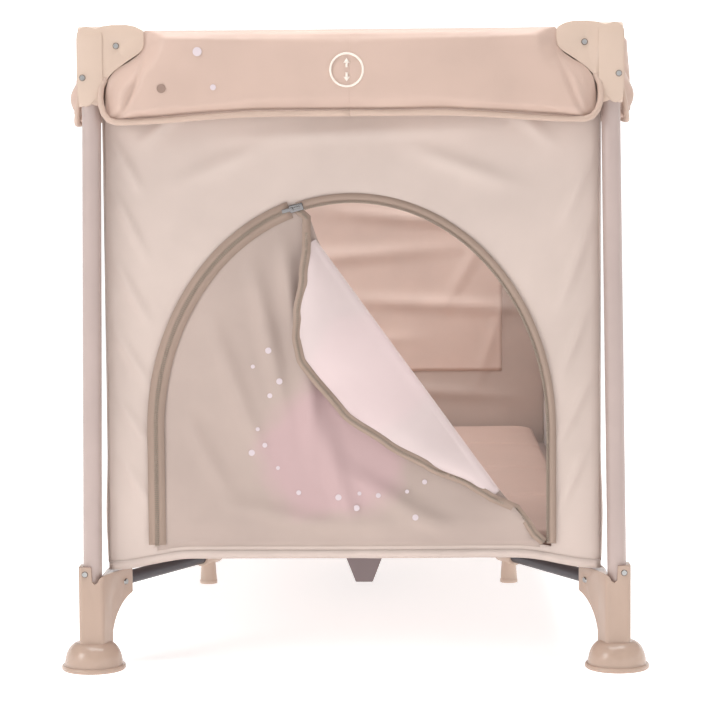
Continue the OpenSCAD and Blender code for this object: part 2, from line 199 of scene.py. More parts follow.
def woven(name, colour, roughness=0.55, sheen=0.35, pitch=0.0011, depth=0.22, change=0.05):
    material, tree, shader = start_material(name, colour, roughness)
    place = tree.nodes.new("ShaderNodeUVMap")
    place.uv_map = "cloth"
    tint = mottled(tree, place.outputs["UV"], 9.0,
                   shade(colour, 1 - change), shade(colour, 1 + change))
    tree.links.new(tint, shader.inputs["Base Color"])
    threads = []
    for direction in ("X", "Y"):
        band = add_node(tree, "ShaderNodeTexWave", Scale=WAVE_REPEAT / pitch, Distortion=0.6)
        band.bands_direction = direction
        band.inputs["Detail Scale"].default_value = 2.0
        tree.links.new(place.outputs["UV"], band.inputs["Vector"])
        threads.append(band.outputs["Fac"])
    weave = add_node(tree, "ShaderNodeMath", operation="MULTIPLY")
    tree.links.new(threads[0], weave.inputs[0])
    tree.links.new(threads[1], weave.inputs[1])
    bump = add_node(tree, "ShaderNodeBump", Strength=depth, Distance=0.0004)
    tree.links.new(weave.outputs["Value"], bump.inputs["Height"])
    tree.links.new(bump.outputs["Normal"], shader.inputs["Normal"])
    shader.inputs["Sheen Weight"].default_value = sheen
    shader.inputs["Sheen Roughness"].default_value = 0.4
    shader.inputs["Specular IOR Level"].default_value = 0.35
    return material


# %% [markdown]
# Moulded plastic is never quite smooth: the mould leaves a fine grain, and edges and palms polish it
# in places. Powder coat on the tubes has an orange-peel ripple. Both are a small noise in the bump and
# a slow one in the roughness, read from object coordinates because these parts have no UV map.

# %% Plastic and coated metal
def moulded(name, colour, roughness=0.42, grain=900.0, depth=0.12, metallic=0.0, change=0.04):
    material, tree, shader = start_material(name, colour, roughness)
    place = tree.nodes.new("ShaderNodeTexCoord")
    tint = mottled(tree, place.outputs["Object"], 14.0,
                   shade(colour, 1 - change), shade(colour, 1 + change))
    tree.links.new(tint, shader.inputs["Base Color"])
    wear = add_node(tree, "ShaderNodeTexNoise", Scale=22.0, Detail=4.0)
    tree.links.new(place.outputs["Object"], wear.inputs["Vector"])
    spread = add_node(tree, "ShaderNodeMapRange")
    spread.inputs["To Min"].default_value = max(0.05, roughness - 0.08)
    spread.inputs["To Max"].default_value = roughness + 0.08
    tree.links.new(wear.outputs["Fac"], spread.inputs["Value"])
    tree.links.new(spread.outputs["Result"], shader.inputs["Roughness"])
    fine = add_node(tree, "ShaderNodeTexNoise", Scale=grain, Detail=2.0)
    tree.links.new(place.outputs["Object"], fine.inputs["Vector"])
    bump = add_node(tree, "ShaderNodeBump", Strength=depth, Distance=0.0003)
    tree.links.new(fine.outputs["Fac"], bump.inputs["Height"])
    tree.links.new(bump.outputs["Normal"], shader.inputs["Normal"])
    shader.inputs["Metallic"].default_value = metallic
    return material


# %% [markdown]
# This pen is sewn from satin-like cloth in a few beiges: a pale wall, a darker door, rosy rail pads
# and a pale pink lining. Its plastics are beige too, and the tubes under the bed are nearly black.
# Each finish is made once here and shared, so that two pieces of one cloth never differ. The door
# and its lining have one blush of pink each.

# %% The finishes of this pen
WALL_CLOTH = woven("wall cloth", (0.585, 0.478, 0.428), 0.50, 0.30)
DOOR_CLOTH = woven("door cloth", (0.445, 0.348, 0.306), 0.46, 0.30)
PAD_CLOTH = woven("rail pad cloth", (0.560, 0.405, 0.338), 0.46, 0.35)
PIPING_CLOTH = woven("piping cloth", (0.540, 0.398, 0.326), 0.55, 0.25, pitch=0.0008)
LINING_CLOTH = woven("door lining", (0.625, 0.515, 0.503), 0.42, 0.35)
# The pocket's own cloth, also used for the sheet of painted shade inside the end wall.
POCKET_CLOTH_AND_SHADE = woven("pocket cloth", (0.760, 0.600, 0.530), 0.60, 0.25)
MATTRESS_CLOTH = woven("mattress cloth", (0.500, 0.355, 0.302), 0.70, 0.20, change=0.03)
FLOOR_CLOTH = woven("floor cloth", (0.400, 0.300, 0.270), 0.65, 0.15)
ZIP_CLOTH = woven("zip tape", (0.365, 0.266, 0.214), 0.65, 0.15, pitch=0.0007)
TEETH_PLASTIC = moulded("zip teeth", (0.300, 0.240, 0.190), 0.45)
CASTING_PLASTIC = moulded("casting plastic", (0.600, 0.456, 0.368), 0.34)
FOOT_PLASTIC = moulded("foot plastic", (0.455, 0.328, 0.260), 0.24)
POST_COAT = moulded("post powder coat", (0.455, 0.357, 0.328), 0.34, 260.0, 0.10, 0.15)
BASE_COAT = moulded("base tube coat", (0.070, 0.064, 0.072), 0.40, 260.0, 0.10, 0.25)
HUB_PLASTIC = moulded("hub plastic", (0.110, 0.095, 0.100), 0.50)
HUB_FOOT_PLASTIC = moulded("hub foot plastic", (0.285, 0.228, 0.230), 0.50)
BUTTON_PLASTIC = moulded("button plastic", (0.420, 0.370, 0.350), 0.38)
NICKEL = moulded("nickel", (0.360, 0.355, 0.350), 0.20, 500.0, 0.05, 1.0)
DARK_NICKEL = moulded("dark nickel", (0.260, 0.250, 0.250), 0.22, 500.0, 0.05, 1.0)
MARK_INK = moulded("cream ink", (0.840, 0.740, 0.660), 0.50)
DOT_INK = moulded("pale ink", (0.640, 0.545, 0.570), 0.50)
BROWN_INK = moulded("brown ink", (0.300, 0.200, 0.160), 0.50)
tinted(DOOR_CLOTH, (-0.023, 0.257), 0.085, (0.530, 0.352, 0.362), 0.75)
tinted(LINING_CLOTH, (0.150, 0.060), 0.070, (0.680, 0.520, 0.520), 0.50)
print("finishes", len(bpy.data.materials))

# %% [markdown]
# The camera stands about 2.7 m in front of the door end, a little to the right and below the rail,
# looking slightly down. A long lens keeps the posts nearly parallel. It is placed first, because the
# soft parts are judged from here while they are being shaped.

# %% Camera
eye = bpy.data.cameras.new("studio camera")
eye.sensor_width = 36.0
eye.lens = 119.9
camera = bpy.data.objects.new("studio camera", eye)
bpy.context.scene.collection.objects.link(camera)
camera.matrix_world = (
    Matrix.Translation((0.068, -3.302, 0.582))
    @ Matrix.Rotation(math.radians(1.43), 4, "Z")
    @ Matrix.Rotation(math.radians(90 - 4.44), 4, "X")
    @ Matrix.Rotation(math.radians(-0.45), 4, "Z")
)
bpy.context.scene.camera = camera
bpy.context.scene.view_settings.view_transform = "Standard"
print("camera lens", eye.lens)

# %% [markdown]
# Cloth starts as a flat grid in metres, with its flat coordinates saved as the "cloth" UV map, so
# the weave belongs to the cloth and not to the room. Then each point is hung in its place. Faces
# can be dropped first, and the ragged edge that is left is pulled onto the cut line. A stuffed piece
# has no flat start, so it gives its own rule for the map.

# %% Flat cloth and how it hangs
def flat_cloth(x0, x1, z0, z1, cell=CELL):
    bm = bmesh.new()
    across = max(2, round((x1 - x0) / cell))
    up = max(2, round((z1 - z0) / cell))
    bmesh.ops.create_grid(bm, x_segments=across, y_segments=up, size=0.5)
    bmesh.ops.scale(bm, vec=(x1 - x0, z1 - z0, 1), verts=bm.verts)
    bmesh.ops.translate(bm, vec=((x0 + x1) / 2, (z0 + z1) / 2, 0), verts=bm.verts)
    return bm


def keep_faces(bm, wanted):
    lost = [f for f in bm.faces if not wanted(*f.calc_center_median().xy)]
    bmesh.ops.delete(bm, geom=lost, context="FACES")


def save_cloth_map(bm, flat=lambda face, co: co.xy):
    layer = bm.loops.layers.uv.new("cloth")
    for face in bm.faces:
        for loop in face.loops:
            loop[layer].uv = flat(face, loop.vert.co)


def hang(bm, place):
    for vert in bm.verts:
        vert.co = place(vert.co.x, vert.co.y)


def smooth_step(value, low, high):
    t = min(1.0, max(0.0, (value - low) / (high - low)))
    return t * t * (3 - 2 * t)


# %% [markdown]
# A wrinkle is a low ridge: high along its middle line and gone at both ends. A few ridges in the
# places where the real cloth is pulled, plus a slow ripple, read as sewn fabric. A single noise over
# the whole wall would look like crumpled paper.

# %% Wrinkles
def ridge(x, z, centre, angle, length, width, height):
    c, s = math.cos(math.radians(angle)), math.sin(math.radians(angle))
    dx, dz = x - centre[0], z - centre[1]
    along, across = dx * c + dz * s, dz * c - dx * s
    fade = max(0.0, 1 - (along / length) ** 2)
    return height * math.exp(-((across / width) ** 2)) * fade * fade


def ripple(x, z, size, height, seed=0.0):
    return height * noise.noise(Vector((x / size, z / size, seed)))


def folds(x, z, lines):
    return sum(ridge(x, z, *line) for line in lines)


# %% [markdown]
# The door is an arch: straight sides with half an ellipse on top. One function pulls a point onto
# that line, one says whether a point lies inside it, and one gives the whole line as points. The
# wall's opening, the door cloth and the zip all use them, so they can't drift apart.

# %% The arch
SIDE_STEPS = 30
TURN_STEPS = 90


def arch_edge(x, z):
    """The point of the arch that lies beside or above a point of the wall."""
    if z < ARCH_SPRING:
        return math.copysign(ARCH_HALF, x), z
    turn = math.atan2((z - ARCH_SPRING) / ARCH_RISE, x / ARCH_HALF)
    return ARCH_HALF * math.cos(turn), ARCH_SPRING + ARCH_RISE * math.sin(turn)


def inside_arch(x, z):
    if z < DOOR_LOW or abs(x) > ARCH_HALF:
        return False
    return z < ARCH_SPRING or (x / ARCH_HALF) ** 2 + ((z - ARCH_SPRING) / ARCH_RISE) ** 2 < 1


def arch_path(inset=0.0):
    """The arch as points, from its left foot over the top to its right foot."""
    half, rise = ARCH_HALF - inset, ARCH_RISE - inset
    side = ARCH_SPRING - DOOR_LOW
    path = [(-half, DOOR_LOW + side * i / SIDE_STEPS) for i in range(SIDE_STEPS)]
    for i in range(TURN_STEPS + 1):
        t = math.pi * (1 - i / TURN_STEPS)
        path.append((half * math.cos(t), ARCH_SPRING + rise * math.sin(t)))
    path += [(half, ARCH_SPRING - side * (i + 1) / SIDE_STEPS) for i in range(SIDE_STEPS)]
    return path


# %% [markdown]
# The front wall is the sheet with the arch cut out of it. It is pulled tight between the posts, so
# short slanted puckers stand beside both legs of the zip, and its lower corners dip where they are
# sewn to the feet. Each wrinkle in the list has its middle, its slant in degrees, how far it reaches
# each way, its width and its height.

# %% Front wall
FRONT_FOLDS = [
    ((-0.262, 0.590), -60, 0.050, 0.006, 0.0030), ((-0.258, 0.520), -64, 0.060, 0.006, 0.0030),
    ((-0.256, 0.440), -62, 0.060, 0.006, 0.0032), ((-0.258, 0.365), -60, 0.055, 0.006, 0.0030),
    ((-0.258, 0.290), -58, 0.050, 0.005, 0.0026), ((-0.256, 0.220), -60, 0.045, 0.005, 0.0026),
    ((0.262, 0.560), 66, 0.060, 0.007, 0.0030), ((0.258, 0.470), 70, 0.070, 0.006, 0.0032),
    ((0.257, 0.380), 68, 0.060, 0.006, 0.0030), ((0.258, 0.300), 64, 0.055, 0.005, 0.0028),
    ((0.256, 0.220), 66, 0.050, 0.005, 0.0026), ((-0.150, 0.590), 24, 0.080, 0.010, 0.0024),
    ((0.130, 0.585), -20, 0.090, 0.010, 0.0024), ((0.000, 0.625), 2, 0.200, 0.009, 0.0020),
    ((0.200, 0.640), -40, 0.060, 0.008, 0.0030), ((-0.215, 0.640), 42, 0.060, 0.008, 0.0030),
]


def corner_dip(x, z):
    """How far the wall's lower edge hangs down at the corners; between them it is lifted a little."""
    lifted = 0.0040 * (1 - smooth_step(z, WALL_LOW, WALL_LOW + 0.03))
    near_foot = 1 - smooth_step(z, WALL_LOW, WALL_LOW + 0.09)
    return 0.0130 * smooth_step(abs(x), 0.19, 0.285) * near_foot - lifted


def corner_seam(x):
    """The groove of the upright corner seam, and the strip past it that turns back round the side."""
    past = max(0.0, abs(x) - 0.2855)
    return 0.0028 * math.exp(-(((abs(x) - 0.2838) / 0.0014) ** 2)) + 1.1 * past


def hem_puckers(x, z):
    near_hem = 1 - smooth_step(z, 0.128, 0.152)
    return 0.0016 * noise.noise(Vector((x / 0.016 + z / 0.02, z / 0.05, 8.0))) * near_hem


def front_out(x, z):
    """How far the door wall stands out of its plane: its belly, wrinkles, ripple and hem."""
    tight = smooth_step(z, WALL_LOW, WALL_LOW + 0.02) * (1 - smooth_step(z, 0.62, WALL_HIGH))
    belly = 0.0035 * math.cos(x * 5.0) * tight
    return belly + 1.5 * folds(x, z, FRONT_FOLDS) + ripple(x, z, 0.11, 0.0018) + hem_puckers(x, z)


def front_place(x, z):
    return Vector((x, FRONT_Y - front_out(x, z) + corner_seam(x), z - corner_dip(x, z)))


bm = flat_cloth(-SIDE_X, SIDE_X, WALL_LOW, WALL_HIGH, 0.0040)
keep_faces(bm, lambda x, z: not inside_arch(x, z))
for vert in bm.verts:
    hem_or_top = vert.co.y < WALL_LOW + 0.002 or vert.co.y > WALL_HIGH - 0.002
    if vert.is_boundary and not hem_or_top and abs(vert.co.x) <= SIDE_X - 0.002:
        x, z = arch_edge(vert.co.x, max(vert.co.y, DOOR_LOW))
        flat_bottom = vert.co.y < DOOR_LOW + 0.004 and abs(vert.co.x) < ARCH_HALF - 0.004
        vert.co.xy = (vert.co.x, DOOR_LOW) if flat_bottom else (x, z)
save_cloth_map(bm)
hang(bm, front_place)
front_wall = make_piece("front_wall_cloth", bm, WALL_CLOTH, "corner_front_left",
                        ["wall_front"])
thicken(front_wall, CLOTH_DEPTH)
gather_to_post(front_wall)

# %% [markdown]
# The other three walls are plain sheets. The far end has soft level wrinkles, because its cloth is a
# little long for the frame. Each long side has a big mesh window: the sheet is cut, the mesh sits
# in the cut, and a binding tape hides the seam.

# %% Rear and side walls
REAR_FOLDS = [
    ((-0.12, 0.56), 3, 0.26, 0.011, 0.0045), ((0.10, 0.50), -5, 0.24, 0.010, 0.0045),
    ((-0.05, 0.44), 4, 0.28, 0.012, 0.0040), ((0.12, 0.36), -3, 0.26, 0.011, 0.0045),
    ((-0.10, 0.29), 5, 0.24, 0.010, 0.0040), ((0.05, 0.22), -4, 0.26, 0.010, 0.0035),
    ((0.16, 0.42), 60, 0.12, 0.010, 0.0040), ((0.20, 0.30), 72, 0.12, 0.009, 0.0035),
]
WINDOW_Y = 0.480
WINDOW_LOW = 0.230
WINDOW_HIGH = 0.600
WINDOW_ROUND = 0.040
CORNER_STEPS = 8                # points in each rounded corner of the window


def rear_place(x, z):
    out = folds(x, z, REAR_FOLDS) + ripple(x, z, 0.13, 0.0020, 3.0)
    out *= smooth_step(0.275 - abs(x), 0.0, 0.02)
    return Vector((x, WALL_Y + 0.0005 - min(out, 0.006), z))


bm = flat_cloth(-SIDE_X, SIDE_X, WALL_LOW, WALL_HIGH)
save_cloth_map(bm)
hang(bm, rear_place)
rear_wall = make_piece("rear_wall_cloth", bm, WALL_CLOTH, "corner_rear_right",
                       ["wall_rear"])
thicken(rear_wall, CLOTH_DEPTH)
gather_to_post(rear_wall)


def window_depth(y, z):
    """How deep a point lies inside the window's rounded outline; outside it this is negative."""
    dy = abs(y) - (WINDOW_Y - WINDOW_ROUND)
    dz = abs(z - (WINDOW_LOW + WINDOW_HIGH) / 2) - ((WINDOW_HIGH - WINDOW_LOW) / 2 - WINDOW_ROUND)
    return WINDOW_ROUND - math.hypot(max(dy, 0), max(dz, 0)) - min(max(dy, dz), 0)


def side_folds(y, z):
    under_window = math.exp(-((z - 0.19) / 0.05) ** 2)
    return 0.0022 * math.sin(y * 9 + 4 * z) * under_window + ripple(y, z, 0.12, 0.0016, 7.0)


def side_place(sign):
    return lambda y, z: Vector((sign * (SIDE_X - 0.0005 + side_folds(y, z)), y, z))


def window_path():
    path = []
    mid = (WINDOW_LOW + WINDOW_HIGH) / 2
    reach_y = WINDOW_Y - WINDOW_ROUND
    reach_z = (WINDOW_HIGH - WINDOW_LOW) / 2 - WINDOW_ROUND
    for quarter, (sy, sz) in enumerate(((1, 1), (-1, 1), (-1, -1), (1, -1))):
        for i in range(CORNER_STEPS + 1):
            t = math.radians(90 * quarter + 90 * i / CORNER_STEPS)
            path.append((sy * reach_y + WINDOW_ROUND * math.cos(t),
                         mid + sz * reach_z + WINDOW_ROUND * math.sin(t)))
    return path


print("window outline", len(window_path()), "points")

# %% [markdown]
# Bindings, hems and zip tapes are all the same thing: a narrow tape sewn along a line. A curve with
# a flat bevel could draw it, but would twist on tight turns. Here one edge is laid across the line
# and extruded from point to point, so the tape stays flat on its cloth and its threads run along it.

# %% A sewn tape along any line
TAPE_LIFT = 0.0008


def ribbon(path, width, place, closed=False):
    """A flat tape: an edge across the line, extruded from point to point, lifted off the cloth."""
    bm = bmesh.new()
    spots = [Vector((p[0], p[1])) for p in path]
    count = len(spots)
    ends = []
    for i, spot in enumerate(spots):
        after = spots[(i + 1) % count] if closed or i + 1 < count else spots[i]
        before = spots[i - 1] if closed or i > 0 else spots[i]
        run = (after - before).normalized()
        side = Vector((-run.y, run.x)) * width / 2
        ends.append((spot - side, spot + side))
    start = bm.verts.new((*ends[0][0], 0)), bm.verts.new((*ends[0][1], 0))
    edge, low = bm.edges.new(start), start[0]
    for spot_low, spot_high in ends[1:]:
        grown = bmesh.ops.extrude_edge_only(bm, edges=[edge])["geom"]
        new = [g for g in grown if isinstance(g, bmesh.types.BMVert)]
        new.sort(key=lambda v: (v.co - low.co).length)
        new[0].co.xy, new[1].co.xy = spot_low, spot_high
        edge, low = bm.edges.get(new), new[0]
    if closed:
        bm.faces.new([start[0], start[1], edge.other_vert(low), low])
    save_cloth_map(bm)
    bmesh.ops.recalc_face_normals(bm, faces=bm.faces)
    hang(bm, lambda x, z: place(x, z, TAPE_LIFT))
    return bm


def path_length(path):
    spots = [Vector(p) for p in path]
    return sum((b - a).length for a, b in zip(spots, spots[1:]))


# %% [markdown]
# The window is a knitted mesh, mostly holes. Modelling every thread would cost a million faces, so
# the holes are in the finish: two sets of bands cross at a slant, and where both are high the cloth
# is nearly clear. The sheet itself stays a plain grid that folds with its wall.

# %% Side walls with their mesh windows
MESH_PITCH = 0.0042
THREAD_BELOW = 0.35
HOLE_COVER = 0.12
MESH_LAP = 0.006                # how far the mesh runs under its binding


def knitted(name, colour):
    """An open mesh: round holes on a staggered grid, cut in the alpha from the cloth map."""
    material, tree, shader = start_material(name, colour, 0.6)
    place = tree.nodes.new("ShaderNodeUVMap")
    place.uv_map = "cloth"
    bands = []
    for angle in (45, -45):
        turn = tree.nodes.new("ShaderNodeMapping")
        turn.inputs["Rotation"].default_value[2] = math.radians(angle)
        tree.links.new(place.outputs["UV"], turn.inputs["Vector"])
        band = add_node(tree, "ShaderNodeTexWave", Scale=WAVE_REPEAT / MESH_PITCH)
        tree.links.new(turn.outputs["Vector"], band.inputs["Vector"])
        bands.append(band.outputs["Fac"])
    both = add_node(tree, "ShaderNodeMath", operation="MULTIPLY")
    tree.links.new(bands[0], both.inputs[0])
    tree.links.new(bands[1], both.inputs[1])
    thread = add_node(tree, "ShaderNodeMath", operation="LESS_THAN")
    thread.inputs[1].default_value = THREAD_BELOW
    tree.links.new(both.outputs["Value"], thread.inputs[0])
    cover = add_node(tree, "ShaderNodeMapRange")
    cover.inputs["To Min"].default_value = HOLE_COVER
    cover.inputs["To Max"].default_value = 1.0
    tree.links.new(thread.outputs["Value"], cover.inputs["Value"])
    tree.links.new(cover.outputs["Result"], shader.inputs["Alpha"])
    return material


MESH_KNIT = knitted("window mesh", (0.620, 0.520, 0.480))
for side, sign, body in (("left", -1, "corner_rear_left"), ("right", 1, "corner_front_right")):
    place = side_place(sign)
    bm = flat_cloth(-WALL_Y + 0.0005, WALL_Y - 0.0005, WALL_LOW, WALL_HIGH)
    keep_faces(bm, lambda y, z: window_depth(y, z) < 0)
    save_cloth_map(bm)
    hang(bm, place)
    wall = make_piece(f"{side}_wall_cloth", bm, WALL_CLOTH, body, [f"wall_{side}"])
    thicken(wall, CLOTH_DEPTH)
    bm = flat_cloth(-WINDOW_Y - MESH_LAP, WINDOW_Y + MESH_LAP, WINDOW_LOW - MESH_LAP,
                    WINDOW_HIGH + MESH_LAP, 2 * CELL)
    keep_faces(bm, lambda y, z: window_depth(y, z) > -MESH_LAP - 0.002)
    save_cloth_map(bm)
    hang(bm, lambda y, z: place(y, z) + Vector((-sign * 0.0012, 0, 0)))
    mesh = make_piece(f"{side}_window_mesh", bm, MESH_KNIT, body, [f"mesh_{side}"])
    pieces = [wall, mesh]
    for tag, out in (("outer", 0.0016), ("inner", -0.0032)):
        bm = ribbon(window_path(), 0.018,
                    lambda y, z, lift: place(y, z) + Vector((sign * out, 0, 0)), closed=True)
        binding = make_piece(f"{side}_window_{tag}_binding", bm, PIPING_CLOTH, body)
        thicken(binding, CLOTH_DEPTH)
        pieces.append(binding)
    for piece in pieces:
        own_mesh(piece)
print("side walls and windows made")

# %% [markdown]
# The door is zipped shut on its left and open on its right, and its free corner is turned out over
# a slanted fold line, so its pale lining shows. It is two pieces: the cloth that still lies in the
# wall, and the corner, which rolls over the fold line and comes back in front of it. The fold line
# runs from just under the slider to the lower right.

# %% Door cloth in the wall
DOOR_TOP = 0.540                # the cloth ends here, just under the slider
DOOR_DEPTH = 0.0010
FOLD_TOP = Vector((-0.035, 0.493))
FOLD_LOW = Vector((0.168, 0.212))
FREE_EDGE = [                   # height and place of the edge that is not zipped shut
    (0.540, -0.064), (0.524, -0.047), (0.504, -0.040), (0.493, -0.035), (0.212, 0.168),
    (0.202, 0.176), (0.174, 0.200), (0.159, 0.208), (0.145, 0.221),
]
DOOR_FOLDS = [
    ((-0.070, 0.420), -84, 0.120, 0.009, 0.0060), ((-0.100, 0.400), -78, 0.130, 0.010, 0.0050),
    ((-0.135, 0.330), -70, 0.120, 0.010, 0.0045), ((-0.050, 0.330), -88, 0.120, 0.010, 0.0060),
    ((-0.020, 0.230), -74, 0.100, 0.012, 0.0050), ((-0.170, 0.250), -62, 0.090, 0.010, 0.0035),
    ((0.060, 0.190), -32, 0.110, 0.012, 0.0045), ((-0.080, 0.180), -12, 0.110, 0.010, 0.0030),
    ((-0.190, 0.420), 66, 0.080, 0.007, 0.0030), ((-0.150, 0.480), 48, 0.070, 0.007, 0.0030),
]


def free_edge_x(z):
    for (z1, x1), (z0, x0) in zip(FREE_EDGE, FREE_EDGE[1:]):
        if z >= z0:
            return x0 + (x1 - x0) * (z - z0) / (z1 - z0)
    return FREE_EDGE[-1][1]


def door_place(x, z):
    near_zip = 0.0
    if z > DOOR_LOW:
        ex, ez = arch_edge(x, z)
        near_zip = math.hypot(ex - x, ez - z)
    loose = smooth_step(near_zip, 0.004, 0.05) * smooth_step(z, DOOR_LOW, DOOR_LOW + 0.03)
    out = (0.006 + 1.4 * folds(x, z, DOOR_FOLDS) + ripple(x, z, 0.09, 0.0030, 5.0)) * loose
    return Vector((x, FRONT_Y - front_out(x, z) - out, z - corner_dip(x, z)))


def in_door(x, z):
    return inside_arch(x, z) and z < DOOR_TOP and x < free_edge_x(z)


bm = flat_cloth(-ARCH_HALF, ARCH_HALF, DOOR_LOW, 0.555, 0.0045)
keep_faces(bm, in_door)
for vert in bm.verts:
    if vert.co.y < DOOR_LOW + 0.002:
        vert.co.y -= 0.004
        continue
    if not vert.is_boundary:
        continue
    edge_x = free_edge_x(vert.co.y)
    if abs(vert.co.x - edge_x) < 0.010 and vert.co.y < DOOR_TOP - 0.001:
        vert.co.x = edge_x
    else:
        vert.co.xy = arch_edge(*vert.co.xy)
save_cloth_map(bm)
hang(bm, lambda x, z: door_place(x, z) + Vector((0, -0.0010, 0)))
door_cloth_area = sum(f.calc_area() for f in bm.faces)
door_cloth = make_piece("door_cloth", bm, DOOR_CLOTH, "corner_front_left", ["door_flap"])
thicken(door_cloth, DOOR_DEPTH)
print("door cloth area", round(door_cloth_area, 4))

# %% [markdown]
# The turned corner starts on the fold line, goes round a small roll and comes back to the left. Its
# width along the fold line is a smooth bump: nothing at the top, widest a third of the way down, and
# nothing again at the foot of the line. A flat grid is bent into it, with one direction down the
# line and the other one from the roll to the free edge, so its cloth map is easy to keep.

# %% Door corner
ROLL = 0.008                    # radius of the soft roll at the fold
CORNER_CUT = 0.11               # the widest part of the corner as it was cut
RUN = FOLD_LOW - FOLD_TOP
RUN_DIR = RUN.normalized()
AWAY = Vector((-RUN_DIR.y, RUN_DIR.x))      # from the fold line to the open side
CORNER_WIDTHS = [               # way down the fold line, and how far the corner reaches back there
    (-0.012, 0.004), (0.015, 0.028), (0.046, 0.059), (0.070, 0.078), (0.092, 0.087), (0.118, 0.087),
    (0.172, 0.083), (0.228, 0.063), (0.278, 0.040), (0.326, 0.014), (0.350, 0.004),
]
CORNER_TOP = CORNER_WIDTHS[0][0]
CORNER_FOOT = CORNER_WIDTHS[-1][0]


def corner_width(u):
    for (u0, w0), (u1, w1) in zip(CORNER_WIDTHS, CORNER_WIDTHS[1:]):
        if u <= u1:
            t = max(0.0, (u - u0) / (u1 - u0))
            return w0 + (w1 - w0) * (t * t * (3 - 2 * t) * 0.35 + t * 0.65)
    return CORNER_WIDTHS[-1][1]


def corner_place(u, v):
    """u runs down the fold line and v is the share of the way from the wall to the free edge."""
    width = corner_width(u)
    arc = math.pi * ROLL
    travel = v * (arc + width)
    turn = min(travel, arc) / ROLL
    flat = max(0.0, travel - arc)
    across = -ROLL + ROLL * math.sin(turn) - flat
    reach = flat / max(width, 0.001)
    out = ROLL * (1 - math.cos(turn))
    out += 0.016 * math.sin(reach * math.pi * 0.75) * min(1.0, width / 0.06)
    out += reach * 0.004 * math.sin(u * 34) + reach * 0.0035 * math.sin(u * 71 + 1.2)
    spot = FOLD_TOP + RUN_DIR * u + AWAY * across
    return Vector((spot.x, min(-WALL_Y - 0.003, -WALL_Y - 0.0075 - out), spot.y))


bm = bmesh.new()
bmesh.ops.create_grid(bm, x_segments=90, y_segments=40, size=0.5)
bmesh.ops.scale(bm, vec=(CORNER_FOOT - CORNER_TOP, 1, 1), verts=bm.verts)
bmesh.ops.translate(bm, vec=((CORNER_FOOT + CORNER_TOP) / 2, 0.5, 0), verts=bm.verts)
save_cloth_map(bm, lambda face, co: (co.x, co.y * CORNER_CUT))
hang(bm, corner_place)
corner_area = sum(f.calc_area() for f in bm.faces)
door_corner = make_piece("door_corner_lining", bm, LINING_CLOTH, "corner_front_left")
thicken(door_corner, DOOR_DEPTH)
for piece in (door_cloth, door_corner):
    gather_to_post(piece)
print("corner area", round(corner_area, 4))

# %% [markdown]
# The zip follows the whole arch. Where it is shut, on the left, two tapes meet and the teeth run
# down their middle. Where it is open there is one tape, with its teeth on the inner edge. The other
# tape goes with the door's free edge. Teeth are repeated hundreds of times, so each one is a plain
# small block.

# %% Zip tapes and teeth
SLIDER_X = (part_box("zip_slider")[0][0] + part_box("zip_slider")[1][0]) / 2
ZIP_Y = -WALL_Y - 0.0055
TOOTH_PITCH = 0.0024
WIDE_TOOTH = (0.0048, 0.0018, 0.0013)       # two rows that mesh
SLIM_TOOTH = (0.0030, 0.0018, 0.0013)       # one row alone
OPEN_FROM = SLIDER_X - 0.004                # the open stretch starts just under the slider


def zip_place(x, z, lift):
    return Vector((x, ZIP_Y - lift, z))


def teeth(path, size, place):
    """A row of blocks along a path, turned with it."""
    bm = bmesh.new()
    gone, next_tooth = 0.0, 0.0
    for a, b in zip(path, path[1:]):
        a, b = Vector(a), Vector(b)
        step = (b - a).length
        while next_tooth <= gone + step:
            spot = a.lerp(b, (next_tooth - gone) / step)
            run = (b - a).normalized()
            at = Matrix.Translation(place(spot.x, spot.y, 2 * TAPE_LIFT))
            axes = Matrix(((-run.y, 0, run.x), (0, 1, 0), (run.x, 0, run.y))).to_4x4()
            bmesh.ops.create_cube(bm, size=1, matrix=at @ axes @ Matrix.Diagonal((*size, 1)))
            next_tooth += TOOTH_PITCH
        gone += step
    return bm


shut = [p for p in arch_path() if p[0] < SLIDER_X]
opened = [p for p in arch_path() if p[0] > OPEN_FROM]
zip_parts = []
for name, path, width in (("zip_tape_shut", shut, 0.020), ("zip_tape_open", opened, 0.011)):
    bm = ribbon(path, width, zip_place)
    tape = make_piece(name, bm, ZIP_CLOTH, "corner_front_left", ["zip_tape"])
    thicken(tape, CLOTH_DEPTH)
    zip_parts.append(tape)
inner = [p for p in arch_path(0.0045) if p[0] > OPEN_FROM]
for name, path, size in (("zip_teeth_shut", shut, WIDE_TOOTH), ("zip_teeth_open", inner, SLIM_TOOTH)):
    row = make_piece(name, teeth(path, size, zip_place), TEETH_PLASTIC, "corner_front_left")
    zip_parts.append(row)
print("zip shut for", round(path_length(shut), 3), "m, open for", round(path_length(opened), 3), "m")

# %% [markdown]
# The door's own tape leaves the slider, follows the free edge of the turned corner and ends at the
# foot of the arch. The same two tools sew it on. Only its path is new: the corner says where its
# edge is, and a few points join that to the zip at both ends.

# %% The tape on the door's free edge
free_line = [corner_place(CORNER_TOP + (CORNER_FOOT - CORNER_TOP) * i / 60, 1.0) for i in range(61)]
free_path = [(-0.064, 0.538), (-0.052, 0.528)] + [(p.x, p.z) for p in free_line]
free_path += [(0.190, 0.187), (0.203, 0.170), (0.211, 0.157), (0.222, 0.147)]
free_depth = [ZIP_Y, ZIP_Y - 0.002] + [p.y - 0.001 for p in free_line] + [ZIP_Y - 0.002] * 4


def free_place(x, z, lift):
    """The depth of the nearest point of the path, so tape and teeth follow the cloth."""
    gaps = [(px - x) ** 2 + (pz - z) ** 2 for px, pz in free_path]
    return Vector((x, free_depth[gaps.index(min(gaps))] - lift, z))


